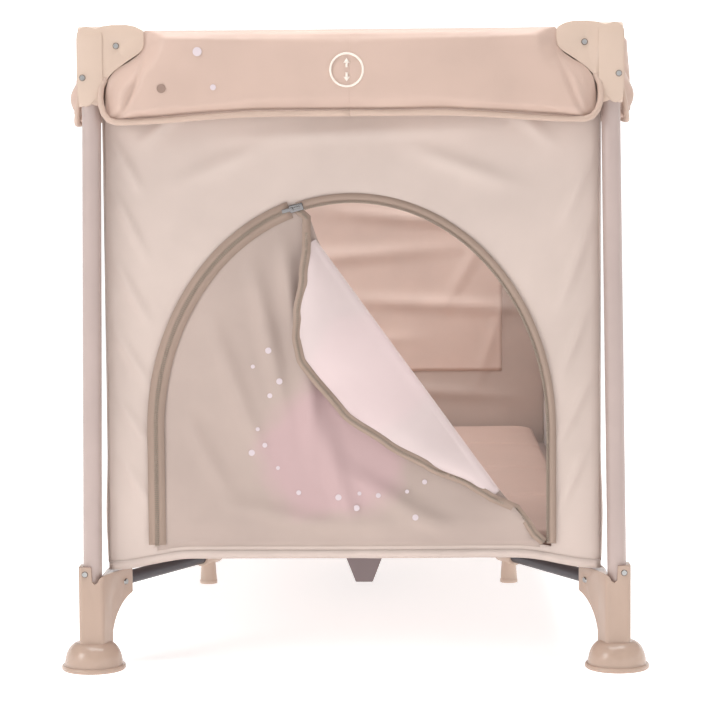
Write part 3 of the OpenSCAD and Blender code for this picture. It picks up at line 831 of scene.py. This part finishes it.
bm = ribbon(free_path, 0.010, free_place)
free_tape = make_piece("zip_tape_door", bm, ZIP_CLOTH, "corner_front_left")
thicken(free_tape, CLOTH_DEPTH)
free_teeth = make_piece("zip_teeth_door", teeth(free_path, SLIM_TOOTH, free_place), TEETH_PLASTIC,
                        "corner_front_left")
zip_parts += [free_tape, free_teeth]
for part in zip_parts:
    gather_to_post(part)
print("zip made", len(zip_parts), "pieces")

# %% [markdown]
# A rail pad is foam in a cloth sleeve, and the mattress is foam in a cover. Both start as a shape a little
# slim and are blown up as cloth with air inside, which crowns their faces and softens their edges in the
# way stuffing does. The shape is first remeshed to even cells, and a cap on how far a point may move keeps
# it near its frame.

# %% Blowing a shape up as cloth
AIR_FRAMES = 20


def blown_up(bm, voxel, pressure, cap, name):
    mesh = bpy.data.meshes.new(name)
    bm.to_mesh(mesh)
    bm.free()
    start = bpy.data.objects.new(name, mesh)
    bpy.context.scene.collection.objects.link(start)
    grid = start.modifiers.new("grid", "REMESH")
    grid.mode = "VOXEL"
    grid.voxel_size = voxel
    graph = bpy.context.evaluated_depsgraph_get()
    even = bpy.data.meshes.new_from_object(start.evaluated_get(graph))
    start.modifiers.clear()
    start.data = even
    rest = [v.co.copy() for v in even.vertices]
    air = start.modifiers.new("air", "CLOTH")
    air.settings.use_pressure = True
    air.settings.uniform_pressure_force = pressure
    air.settings.effector_weights.gravity = 0
    air.point_cache.frame_start = 1
    air.point_cache.frame_end = AIR_FRAMES
    for frame_number in range(1, AIR_FRAMES + 1):
        bpy.context.scene.frame_set(frame_number)
    full = start.evaluated_get(bpy.context.evaluated_depsgraph_get()).data
    moved = [v.co.copy() for v in full.vertices]
    start.modifiers.clear()
    for vert, old, new in zip(start.data.vertices, rest, moved):
        step = new - old
        vert.co = old + step * min(1.0, cap / max(step.length, 1e-9))
    bpy.context.scene.frame_set(1)
    out = bmesh.new()
    out.from_mesh(start.data)
    bpy.data.objects.remove(start)
    return out


# %% [markdown]
# A pad runs from casting to casting, and its ends are tucked under them. So its outline follows the
# lower edge of a casting, a few millimetres inside it. The two edges are short lists of points: the
# distance from the post and the height. The rest of the bar comes from one extrusion and two bevels,
# a wide one on the top edges and a small one below, where the seam is.

# %% The outline of a rail pad
PAD_OUT = 0.025
PAD_IN = 0.019
CASTING_EDGE = [
    (0.0110, 0.664), (0.0140, 0.681), (0.0210, 0.691), (0.0280, 0.698), (0.0420, 0.708),
    (0.0560, 0.717), (0.0620, 0.728), (0.0620, 0.752),
]
PAD_END = [
    (0.0145, 0.646), (0.0145, 0.676), (0.0180, 0.690), (0.0270, 0.700), (0.0410, 0.711),
    (0.0540, 0.720), (0.0580, 0.728), (0.0580, 0.750),
]


def span(side):
    return POST_X if side in ("front", "rear") else POST_Y


def pad_bar(reach):
    """A slim flat bar. Its ends run under the castings, so they follow a casting's lower edge."""
    bm = bmesh.new()
    end = [(reach - u, min(z, PAD_HIGH - 0.002)) for u, z in PAD_END]
    outline = end + [(-x, z) for x, z in reversed(end)]
    front = bm.faces.new([bm.verts.new((x, -PAD_OUT + 0.002, z)) for x, z in outline])
    grown = bmesh.ops.extrude_face_region(bm, geom=[front])["geom"]
    back = [g for g in grown if isinstance(g, bmesh.types.BMVert)]
    bmesh.ops.translate(bm, vec=(0, PAD_OUT + PAD_IN - 0.004, 0), verts=back)
    bmesh.ops.recalc_face_normals(bm, faces=bm.faces)
    long_edges = [e for e in bm.edges if (e.verts[0].co - e.verts[1].co).length > reach]
    top = [e for e in long_edges if e.verts[0].co.z > 0.72]
    low = [e for e in long_edges if e.verts[0].co.z < 0.72]
    bmesh.ops.bevel(bm, geom=top, offset=0.010, affect="EDGES", segments=4, profile=0.5, material=-1)
    low = [e for e in low if e.is_valid]
    bmesh.ops.bevel(bm, geom=low, offset=0.005, affect="EDGES", segments=2, profile=0.5, material=-1)
    return bm


def away_from(line, u, z):
    """Distance from a point to a line of short straight runs."""
    spot = Vector((u, z))
    nearest = 1.0
    for a, b in zip(line, line[1:]):
        a, b = Vector(a), Vector(b)
        run = b - a
        share = min(1.0, max(0.0, (spot - a).dot(run) / run.length_squared))
        nearest = min(nearest, (spot - a - run * share).length)
    return nearest


def pad_fall(x, reach):
    """How far the lower edge of a pad dips towards its ends."""
    return 0.0085 * smooth_step(abs(x), reach - 0.20, reach - 0.03)


# %% [markdown]
# Next to each casting the sleeve is gathered: it dives under the casting's edge and leaves a crease
# that runs from the end of the casting down to the pad's lower corner, with a small soft pouch
# between crease and casting. The creases are grooves along a line of points, given as the distance
# from the post and the height.

# %% Gathers at the castings
ONE_CREASE = [[(0.061, 0.726), (0.061, 0.706), (0.054, 0.686), (0.039, 0.660), (0.022, 0.646)]]
TWO_CREASES = [
    [(0.065, 0.724), (0.056, 0.700), (0.041, 0.668), (0.024, 0.645)],
    [(0.052, 0.708), (0.038, 0.690), (0.028, 0.668), (0.021, 0.646)],
]


def gathered(x, z, reach, creases):
    """How much a point of the outer face dives under the casting, 0 to 1, and how far it is drawn in."""
    u = reach - abs(x)
    if u > 0.12:
        return 0.0, 0.0
    dive = 1 - smooth_step(away_from(CASTING_EDGE, u, z), 0.001, 0.026)
    groove = sum(0.0052 * math.exp(-((away_from(line, u, z) / 0.0034) ** 2)) for line in creases)
    pouch = 0.0045 * math.exp(-(((z - 0.678) / 0.015) ** 2) - ((u - 0.034) / 0.011) ** 2)
    return dive, groove - pouch


def side_frame(side):
    """Turns a pad drawn along X, with its outside at -Y, onto its own side of the pen."""
    turn = {"front": 0, "rear": 180, "left": -90, "right": 90}[side]
    away = POST_Y if side in ("front", "rear") else POST_X
    return Matrix.Rotation(math.radians(turn), 4, "Z") @ Matrix.Translation((0, -away, 0))


PAD_ENDS = {                    # a pad's two halves, by the sign of X before it is turned
    "front": {-1: "left", 1: "right"}, "rear": {-1: "right", 1: "left"},
    "left": {-1: "rear", 1: "front"}, "right": {-1: "front", 1: "rear"},
}
print("pads for", len(PAD_ENDS), "sides")

# %% [markdown]
# Each pad is blown up in one, drawn along X, and shaped: the creases are pressed in, the ends dive
# under the castings and the lower edge dips towards the corners. Then it is cut in the middle, where
# the lock is, because each half must drop with its own rail when the pen folds. A narrow strip of
# faces beside the cut keeps the shading of both halves alike, so no seam shows in the open pen.

# %% Rail pads
CUT_STRIP = 0.0004


def everything(bm):
    return bm.verts[:] + bm.edges[:] + bm.faces[:]


def cut_away(bm, normal):
    """Cuts through the middle of the pen, drops the side the normal points to, and caps the cut."""
    cut = bmesh.ops.bisect_plane(bm, geom=everything(bm), plane_co=(0, 0, 0), plane_no=normal,
                                 clear_outer=True)
    rim = [e for e in cut["geom_cut"] if isinstance(e, bmesh.types.BMEdge)]
    bmesh.ops.holes_fill(bm, edges=[e for e in rim if e.is_valid and e.is_boundary])


def shape_pad(vert, side, reach):
    x, y, z = vert.co
    creases = TWO_CREASES if side == "front" and x > 0 else ONE_CREASE
    face = smooth_step(-y, 0.0, 0.015)
    dive, drawn = gathered(x, z, reach, creases)
    y = max(y, -PAD_OUT - 0.004)
    y += face * (drawn - 0.0028 * noise.noise(Vector((x / 0.055, z / 0.09, 2.0))))
    y += face * dive * (-0.0122 - y)
    back = 0.004 + (PAD_IN - 0.004) * smooth_step(z, 0.690, 0.712)
    y = min(y, back)
    z -= pad_fall(x, reach) * (1 - smooth_step(z, PAD_LOW, PAD_LOW + 0.06))
    vert.co = (x, y, z)


def dress_pad(side):
    reach = span(side)
    bm = blown_up(pad_bar(reach), 0.0055, 4.0, 0.005, f"{side} pad bar")
    bmesh.ops.subdivide_edges(bm, edges=bm.edges, cuts=1, use_grid_fill=True)
    for vert in bm.verts:
        shape_pad(vert, side, reach)
    save_cloth_map(bm, lambda face, co: (co.x, co.z if abs(face.normal.y) > 0.6 else co.z + co.y))
    for sign, end in PAD_ENDS[side].items():
        part = bm.copy()
        bmesh.ops.bisect_plane(part, geom=everything(part), plane_co=(sign * CUT_STRIP, 0, 0),
                               plane_no=(-sign, 0, 0))
        cut_away(part, (-sign, 0, 0))
        bmesh.ops.transform(part, matrix=side_frame(side), verts=part.verts)
        piece = make_piece(f"{side}_pad_{end}", part, PAD_CLOTH, f"rail_{side}_{end}",
                           [f"pad_{side}"])
        drop_with_rail(piece)
    bm.free()


for side in PAD_ENDS:
    dress_pad(side)
print("rail pads blown up")

# %% [markdown]
# Piping is a thin cord in its own bias tape, sewn into the pad's lower edge. It is a round profile
# pushed along the edge's line, in two halves again, so that each half goes with its pad.

# %% Piping along the pads
PIPING_R = 0.0036


def round_cord(points, radius, sides=10):
    """A tube through points: a ring of vertices, extruded and turned from point to point."""
    bm = bmesh.new()
    count = len(points)
    runs = [(points[min(i + 1, count - 1)] - points[max(i - 1, 0)]).normalized() for i in range(count)]
    turn = runs[0].to_track_quat("Z", "Y").to_matrix().to_4x4()
    ring = bmesh.ops.create_circle(bm, cap_ends=False, radius=radius, segments=sides,
                                   matrix=Matrix.Translation(points[0]) @ turn)["verts"]
    edges = list({e for v in ring for e in v.link_edges})
    bmesh.ops.contextual_create(bm, geom=edges)
    for i in range(1, count):
        grown = bmesh.ops.extrude_edge_only(bm, edges=edges)["geom"]
        verts = [g for g in grown if isinstance(g, bmesh.types.BMVert)]
        edges = [g for g in grown if isinstance(g, bmesh.types.BMEdge) and all(v in verts for v in g.verts)]
        step = runs[i - 1].rotation_difference(runs[i]).to_matrix().to_4x4()
        move = Matrix.Translation(points[i]) @ step @ Matrix.Translation(-points[i - 1])
        bmesh.ops.transform(bm, matrix=move, verts=verts)
    bmesh.ops.contextual_create(bm, geom=edges)
    save_cloth_map(bm, lambda face, co: (co.x + co.y, co.z))
    bmesh.ops.recalc_face_normals(bm, faces=bm.faces)
    return bm


def edge_line(side, sign):
    """The lower edge of a pad from its middle, round the corner and up under the casting."""
    reach = span(side)
    steps = 26 if side in ("front", "rear") else 46
    line = []
    for i in range(steps + 1):
        x = (reach - 0.030) * i / steps
        line.append((x, -PAD_OUT + 0.0030, PAD_LOW + 0.001 - pad_fall(x, reach)))
    low = PAD_LOW - 0.0085
    line += [(reach - 0.0215, -0.0210, low + 0.0040), (reach - 0.0155, -0.0195, low + 0.0110),
             (reach - 0.0125, -0.0180, 0.658), (reach - 0.0115, -0.0160, 0.668),
             (reach - 0.0125, -0.0135, 0.679), (reach - 0.0175, -0.0110, 0.690)]
    return [side_frame(side) @ Vector((sign * x, y, z)) for x, y, z in line]


for side, halves in PAD_ENDS.items():
    for sign, end in halves.items():
        bm = round_cord(edge_line(side, sign), PIPING_R)
        cord = make_piece(f"{side}_piping_{end}", bm, PIPING_CLOTH, f"rail_{side}_{end}")
        drop_with_rail(cord)
print("piping", round(2 * PIPING_R * 1000, 1), "mm thick")

# %% [markdown]
# Where the lock stands, the pad carries a round mark that says where to press: a ring with an arrow
# up and an arrow down. It is a thin moulded badge, so it is a spun ring and two small arrow plates.

# %% The release mark on the front pad
MARK_R = 0.0186
MARK = (-0.0033, RAIL_Z - 0.0300)


def on_pad(x, z, lift):
    """A point just off the front pad's outer face, read from the nearest points of the pad."""
    end = "left" if x < 0 else "right"
    pad = bpy.data.objects[f"front_pad_{end}"].data
    points = [v.co for v in pad.vertices if v.co.y < -POST_Y - 0.010]
    near = sorted(points, key=lambda co: (co.x - x) ** 2 + (co.z - z) ** 2)[:6]
    return Vector((x, min(co.y for co in near) - lift, z))


bm = bmesh.new()
wire = bmesh.ops.create_circle(bm, cap_ends=False, radius=0.0013, segments=8,
                               matrix=Matrix.Translation((MARK_R, 0, 0)))["verts"]
bmesh.ops.scale(bm, vec=(1, 0.6, 1), verts=wire)
bmesh.ops.spin(bm, geom=bm.verts[:] + bm.edges[:], cent=(0, 0, 0), axis=(0, 1, 0), angle=2 * math.pi,
               steps=64, use_merge=True)
for up in (1, -1):
    head = [(-0.0038, 0.0078), (0.0038, 0.0078), (0.0, 0.0134)]
    stem = [(-0.0013, 0.0028), (0.0013, 0.0028), (0.0013, 0.0079), (-0.0013, 0.0079)]
    for outline in (head, stem):
        plate = bm.faces.new([bm.verts.new((x, 0, up * z)) for x, z in outline])
        grown = bmesh.ops.extrude_face_region(bm, geom=[plate])["geom"]
        raised = [g for g in grown if isinstance(g, bmesh.types.BMVert)]
        bmesh.ops.translate(bm, vec=(0, -0.0008, 0), verts=raised)
bmesh.ops.recalc_face_normals(bm, faces=bm.faces)
bmesh.ops.translate(bm, vec=on_pad(*MARK, 0.0004), verts=bm.verts)
mark = make_piece("front_release_mark", bm, MARK_INK, "rail_front_left")
drop_with_rail(mark)
print("mark at", MARK)

# %% [markdown]
# The cloth is printed with a few scattered dots. Each dot is a very thin disc that lies on the
# cloth, so it keeps a clean round edge at any distance. A picture texture would blur.

# %% Printed dots
PAD_DOTS = {"pale": [(-0.1735, 0.7180), (-0.1560, 0.6775)], "brown": [(-0.2150, 0.6765)]}
DOOR_DOTS = [
    (-0.0975, 0.374), (-0.1160, 0.355), (-0.0965, 0.321), (-0.0850, 0.338), (-0.1110, 0.282),
    (-0.1030, 0.263), (-0.1185, 0.254), (-0.0880, 0.236), (-0.0640, 0.207), (-0.0175, 0.202),
    (0.0070, 0.206), (0.0290, 0.204), (0.0035, 0.189), (0.0625, 0.208), (0.0830, 0.219), (0.0720, 0.178),
]


DOT_SIZES = (1.0, 0.65, 0.8)    # the dots take these in turn, as shares of the largest
DOT_DEPTH = 0.0003


def dots(spots, place, radius):
    bm = bmesh.new()
    for i, (x, z) in enumerate(spots):
        size = radius * DOT_SIZES[i % 3]
        disc = bmesh.ops.create_circle(bm, cap_ends=True, radius=size, segments=20,
                                       matrix=Matrix.Rotation(math.pi / 2, 4, "X"))["verts"]
        bmesh.ops.translate(bm, vec=place(x, z), verts=disc)
    return bm


def off_door(x, z):
    return door_place(x, z) + Vector((0, -0.0022, 0))


def flatten_shading(piece):
    for face in piece.data.polygons:
        face.use_smooth = False


door_dots = make_piece("door_printed_dots", dots(DOOR_DOTS, off_door, 0.0036), DOT_INK,
                       "corner_front_left")
thicken(door_dots, DOT_DEPTH)
flatten_shading(door_dots)
gather_to_post(door_dots)
for name, ink in (("pale", DOT_INK), ("brown", BROWN_INK)):
    bm = dots(PAD_DOTS[name], lambda x, z: on_pad(x, z, 0.0005), 0.0052)
    piece = make_piece(f"pad_{name}_dots", bm, ink, "rail_front_left")
    thicken(piece, DOT_DEPTH)
    flatten_shading(piece)
    drop_with_rail(piece)
print("dots", len(DOOR_DOTS), "on the door and", sum(map(len, PAD_DOTS.values())), "on the pad")

# %% [markdown]
# The zip slider is a small cast body that straddles both rows of teeth, with a bridge on top and a
# pull that lies along the tape. At this size three blocks with rounded edges give it its outline.

# %% Zip slider
slider_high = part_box("zip_slider")[1]
slider_at = Vector((SLIDER_X, slider_high[1] - 0.0022, slider_high[2] - 0.0075))


def soft_block(bm, size, centre, round_off):
    place = Matrix.Translation(centre) @ Matrix.Diagonal((*size, 1))
    made = bmesh.ops.create_cube(bm, size=1, matrix=place)["verts"]
    edges = list({e for v in made for e in v.link_edges})
    bmesh.ops.bevel(bm, geom=edges, offset=round_off, affect="EDGES", segments=3, profile=0.5, material=-1)


bm = bmesh.new()
soft_block(bm, (0.0165, 0.0034, 0.0092), (0, 0, 0), 0.0012)
soft_block(bm, (0.0085, 0.0022, 0.0030), (0.0005, -0.0030, 0), 0.0008)
soft_block(bm, (0.0130, 0.0012, 0.0046), (-0.0105, -0.0032, -0.0002), 0.0005)
bmesh.ops.rotate(bm, cent=(0, 0, 0), matrix=Matrix.Rotation(math.radians(-15), 3, "Y"), verts=bm.verts)
bmesh.ops.translate(bm, vec=slider_at, verts=bm.verts)
slider = make_piece("zip_slider_cast", bm, DARK_NICKEL, "zip_slider", ["zip_slider"])
gather_to_post(slider)
print("slider at", [round(c, 3) for c in slider_at])

# %% [markdown]
# The bed: a coated floor panel and a thin foam mattress on it. When the pen folds, the floor and
# mattress crumple round the four base tubes as these swing up, so both are cut in quarters, each
# riding on its own tube. The cuts meet exactly. The grooves across the mattress are where the real
# one folds in four.

# %% Floor and mattress quarters
MATTRESS_SEAMS = (-0.283, 0.0, 0.283)
FLOOR_X = SIDE_X - 0.0006
FLOOR_DEPTH = 0.0016
TUBES = {
    "front_left": (-1, -1), "front_right": (1, -1), "rear_left": (-1, 1), "rear_right": (1, 1),
}
mattress_low, mattress_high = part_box("mattress")
floor_low, floor_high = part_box("tub_floor")


def mattress_block():
    bm = bmesh.new()
    bmesh.ops.create_cube(bm, size=1)
    size = Vector(mattress_high) - Vector(mattress_low)
    centre = (Vector(mattress_high) + Vector(mattress_low)) / 2
    bmesh.ops.scale(bm, vec=size - Vector((0.010, 0.010, 0.010)), verts=bm.verts)
    bmesh.ops.translate(bm, vec=centre, verts=bm.verts)
    upright = [e for e in bm.edges if abs(e.verts[0].co.z - e.verts[1].co.z) > 0.01]
    bmesh.ops.bevel(bm, geom=upright, offset=0.012, affect="EDGES", segments=4, profile=0.5, material=-1)
    return bm


def quarter(bm, sx, sy):
    part = bm.copy()
    cut_away(part, (-sx, 0, 0))
    cut_away(part, (0, -sy, 0))
    return part


def follow_tube(piece):
    """Gives a piece of the bed a mesh of its own."""
    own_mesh(piece)


bm = blown_up(mattress_block(), 0.009, 3.0, 0.005, "mattress block")
for vert in bm.verts:
    x, y = vert.co.x, vert.co.y
    if vert.co.z > mattress_high[2] - 0.018:
        for seam in MATTRESS_SEAMS:
            vert.co.z -= 0.0045 * math.exp(-((y - seam) / 0.007) ** 2)
    vert.co.z = max(vert.co.z, mattress_low[2] + 0.0003)
save_cloth_map(bm, lambda face, co: (co.x + (0 if abs(face.normal.z) > 0.5 else co.z), co.y))
sheet_bm = flat_cloth(-FLOOR_X, FLOOR_X, floor_low[1], floor_high[1], 0.02)
save_cloth_map(sheet_bm)
hang(sheet_bm, lambda x, y: Vector((x, y, (floor_low[2] + floor_high[2]) / 2)))
for corner, (sx, sy) in TUBES.items():
    pad = make_piece(f"mattress_{corner}", quarter(bm, sx, sy), MATTRESS_CLOTH, f"base_{corner}",
                     ["mattress"])
    panel = make_piece(f"floor_panel_{corner}", quarter(sheet_bm, sx, sy), FLOOR_CLOTH, f"base_{corner}",
                       ["tub_floor"])
    thicken(panel, FLOOR_DEPTH)
    for piece in (pad, panel):
        follow_tube(piece)
bm.free()
sheet_bm.free()
print("bed of", len(TUBES), "quarters, foam", round(mattress_high[2] - mattress_low[2], 3), "m thick")

# %% [markdown]
# The far end carries a big pocket on its outside, with a bound top edge that stands a little open.
# The thin end wall lets the pocket show through, so from inside it is a darker patch: the pocket's shade on
# the wall. Light that passes through cloth is slow to work out, so that shade is painted: a second sheet of
# the pocket's cloth lies on the inside of the wall, where the real pen has no cloth.

# %% Rear pocket
pocket_low, pocket_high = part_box("rear_pocket")


def pocket_place(x, z):
    up = (z - pocket_low[2]) / (pocket_high[2] - pocket_low[2])
    across = max(0.0, 1 - (x / (pocket_high[0] - 0.004)) ** 2)
    out = 0.001 + 0.016 * across * smooth_step(up, 0.1, 0.95) + ripple(x, z, 0.09, 0.0015, 9.0) * across
    return Vector((x, WALL_Y + 0.0045 + max(0, out), z))


bm = flat_cloth(pocket_low[0], pocket_high[0], pocket_low[2], pocket_high[2])
save_cloth_map(bm)
hang(bm, pocket_place)
pocket = make_piece("rear_pocket_cloth", bm, POCKET_CLOTH_AND_SHADE, "corner_rear_right",
                    ["rear_pocket"])
thicken(pocket, CLOTH_DEPTH)
rim_x = pocket_high[0] - 0.004
rim_path = [(-rim_x + 2 * rim_x * i / 40, pocket_high[2] - 0.006) for i in range(41)]
bm = ribbon(rim_path, 0.014, lambda x, z, lift: pocket_place(x, z) + Vector((0, 0.0016, 0)))
pocket_rim = make_piece("rear_pocket_binding", bm, PIPING_CLOTH, "corner_rear_right")
thicken(pocket_rim, CLOTH_DEPTH)
for piece in (pocket, pocket_rim):
    gather_to_post(piece)
# Painted shade: a sheet of the pocket's cloth on the inside of the end wall, standing for the pocket seen
# through the thin cloth.
bm = flat_cloth(pocket_low[0], pocket_high[0], pocket_low[2], pocket_high[2])
save_cloth_map(bm)
hang(bm, lambda x, z: rear_place(x, z) + Vector((0, -0.0012, 0)))
painted_shade_sheet = make_piece("rear_pocket_backing", bm, POCKET_CLOTH_AND_SHADE, "corner_rear_right")
thicken(painted_shade_sheet, 0.0008)
gather_to_post(painted_shade_sheet)
print("pocket", round(2 * pocket_high[0], 3), "m wide")

# %% [markdown]
# The hem of each end wall is a folded band along the lower edge. It is a tape on the wall, placed by
# the wall's own function, so it dips at the corners with the wall.

# %% Hems of the end walls
HEM_DEPTH = 0.0014
HEM_WIDTH = 0.011
hem_x = SIDE_X - 0.001
hem_path = [(-hem_x + 2 * hem_x * i / 90, WALL_LOW + HEM_WIDTH / 2) for i in range(91)]
for name, wall_place, body, sign in (("front_hem", front_place, "corner_front_left", -1),
                                     ("rear_hem", rear_place, "corner_rear_right", 1)):
    bm = ribbon(hem_path, HEM_WIDTH,
                lambda x, z, lift: wall_place(x, z) + Vector((0, sign * HEM_DEPTH, 0)))
    hem = make_piece(name, bm, WALL_CLOTH, body)
    thicken(hem, HEM_DEPTH)
    gather_to_post(hem)
print("hems", round(path_length(hem_path), 3), "m long")

# %% [markdown]
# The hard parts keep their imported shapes. Moulded parts come out of a mould with rounded edges that
# catch the light, so each casting and foot is copied, its loose triangles merged, and its sharp
# edges bevelled. Tubes, rivets and locks stay as they are and only take their finish.

# %% Rounded copies of the moulded parts
def rounded(node, material, body, width):
    source = bpy.data.objects[node]
    bm = bmesh.new()
    bm.from_mesh(source.data)
    bmesh.ops.remove_doubles(bm, verts=bm.verts, dist=0.00001)
    bmesh.ops.dissolve_limit(bm, angle_limit=math.radians(1.0), verts=bm.verts, edges=bm.edges)
    sharp = [e for e in bm.edges if e.is_manifold and e.calc_face_angle(0) > math.radians(35)]
    bmesh.ops.bevel(bm, geom=sharp, offset=width, affect="EDGES", segments=2, profile=0.5, material=-1,
                    clamp_overlap=True)
    piece = make_piece(f"{node}_moulded", bm, material, body, [node])
    piece.data.set_sharp_from_angle(angle=math.radians(40))


for corner in TUBES:
    rounded(f"casting_{corner}", CASTING_PLASTIC, f"corner_{corner}", 0.0011)
    rounded(f"foot_{corner}", FOOT_PLASTIC, f"corner_{corner}", 0.0011)
    rounded(f"mid_leg_{corner}", CASTING_PLASTIC, f"base_{corner}", 0.0008)
rounded("hub_foot", HUB_FOOT_PLASTIC, "hub", 0.0012)
print("moulded parts rounded")

# %% [markdown]
# Every other hard part stays as the frame gives it. Its name starts with the kind of part it is, so
# one short list hands out the finishes: coat on the tubes, nickel on the rivets, plastic on the hub,
# the locks and the buttons. Each finish goes into the part's material slot.

# %% Finishes of the parts that stay
STAYING = {
    "post_": POST_COAT, "rail_": POST_COAT, "base_tube_": BASE_COAT, "rivets_": NICKEL,
    "hub_rivets": NICKEL, "hub_body": HUB_PLASTIC, "lock_": HUB_PLASTIC,
    "button_": BUTTON_PLASTIC, "pull_strap": HUB_PLASTIC,
}
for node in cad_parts:
    for start, material in STAYING.items():
        if node.startswith(start):
            shape = bpy.data.objects[node].data
            shape.materials.clear()
            shape.materials.append(material)
print("finishes given to", len(STAYING), "kinds of part")

# %% [markdown]
# The stage is a round paper bowl: a flat floor that curves up into a wall all round, so that it is
# a plain pale ground from every side. A curved line is spun round the middle of the pen. The paper
# glows a little, which keeps it white without stronger lights on the pen.

# %% Stage
BOWL_LINE = [                   # how far out, and how high
    (0.0, 0.0), (2.0, 0.0), (7.0, 0.0), (7.6, 0.1), (8.1, 0.5), (8.4, 1.2), (8.5, 2.6),
]
bm = bmesh.new()
profile = [bm.verts.new((x, 0, z)) for x, z in BOWL_LINE]
for inner, outer in zip(profile, profile[1:]):
    bm.edges.new([inner, outer])
bmesh.ops.spin(bm, geom=bm.verts[:] + bm.edges[:], cent=(0, 0, 0), axis=(0, 0, 1), angle=2 * math.pi,
               steps=72, use_merge=True)
bmesh.ops.remove_doubles(bm, verts=bm.verts, dist=0.0001)
bmesh.ops.recalc_face_normals(bm, faces=bm.faces)
bowl = bpy.data.meshes.new("studio floor")
bm.to_mesh(bowl)
bm.free()
floor = bpy.data.objects.new("studio floor", bowl)
bpy.context.scene.collection.objects.link(floor)
paper, _, paper_shader = start_material("studio paper", (0.90, 0.90, 0.90), 0.9)
paper_shader.inputs["Emission Color"].default_value = (1, 1, 1, 1)
paper_shader.inputs["Emission Strength"].default_value = 0.60
bowl.materials.append(paper)
print("stage", 2 * BOWL_LINE[-1][0], "m across")

# %% [markdown]
# Most of the light comes from a large soft lamp above. A smaller key on the front left draws the
# folds, a weak fill on the right softens their dark side, and an even sky does the rest. Broad
# lights suit satin cloth: its sheen then shows as slow bands and not as hot spots.

# %% Lights
def soft_light(name, place, target, size, power):
    lamp = bpy.data.lights.new(name, "AREA")
    lamp.size = size
    lamp.energy = power
    light = bpy.data.objects.new(name, lamp)
    bpy.context.scene.collection.objects.link(light)
    light.location = place
    light.rotation_euler = (Vector(target) - Vector(place)).to_track_quat("-Z", "Y").to_euler()


soft_light("left key light", (-2.5, -2.3, 1.7), (0, -0.3, 0.35), 1.1, 28)
soft_light("right fill light", (2.4, -2.6, 1.3), (0, -0.3, 0.35), 1.8, 2)
soft_light("top light", (0.1, -0.3, 3.0), (0, 0.1, 0.2), 2.4, 98)
world = bpy.data.worlds.new("studio sky")
bpy.context.scene.world = world
world.use_nodes = True
sky = world.node_tree.nodes["Background"]
sky.inputs["Color"].default_value = (1, 1, 1, 1)
sky.inputs["Strength"].default_value = 0.30
print("lights", len(bpy.data.lights))
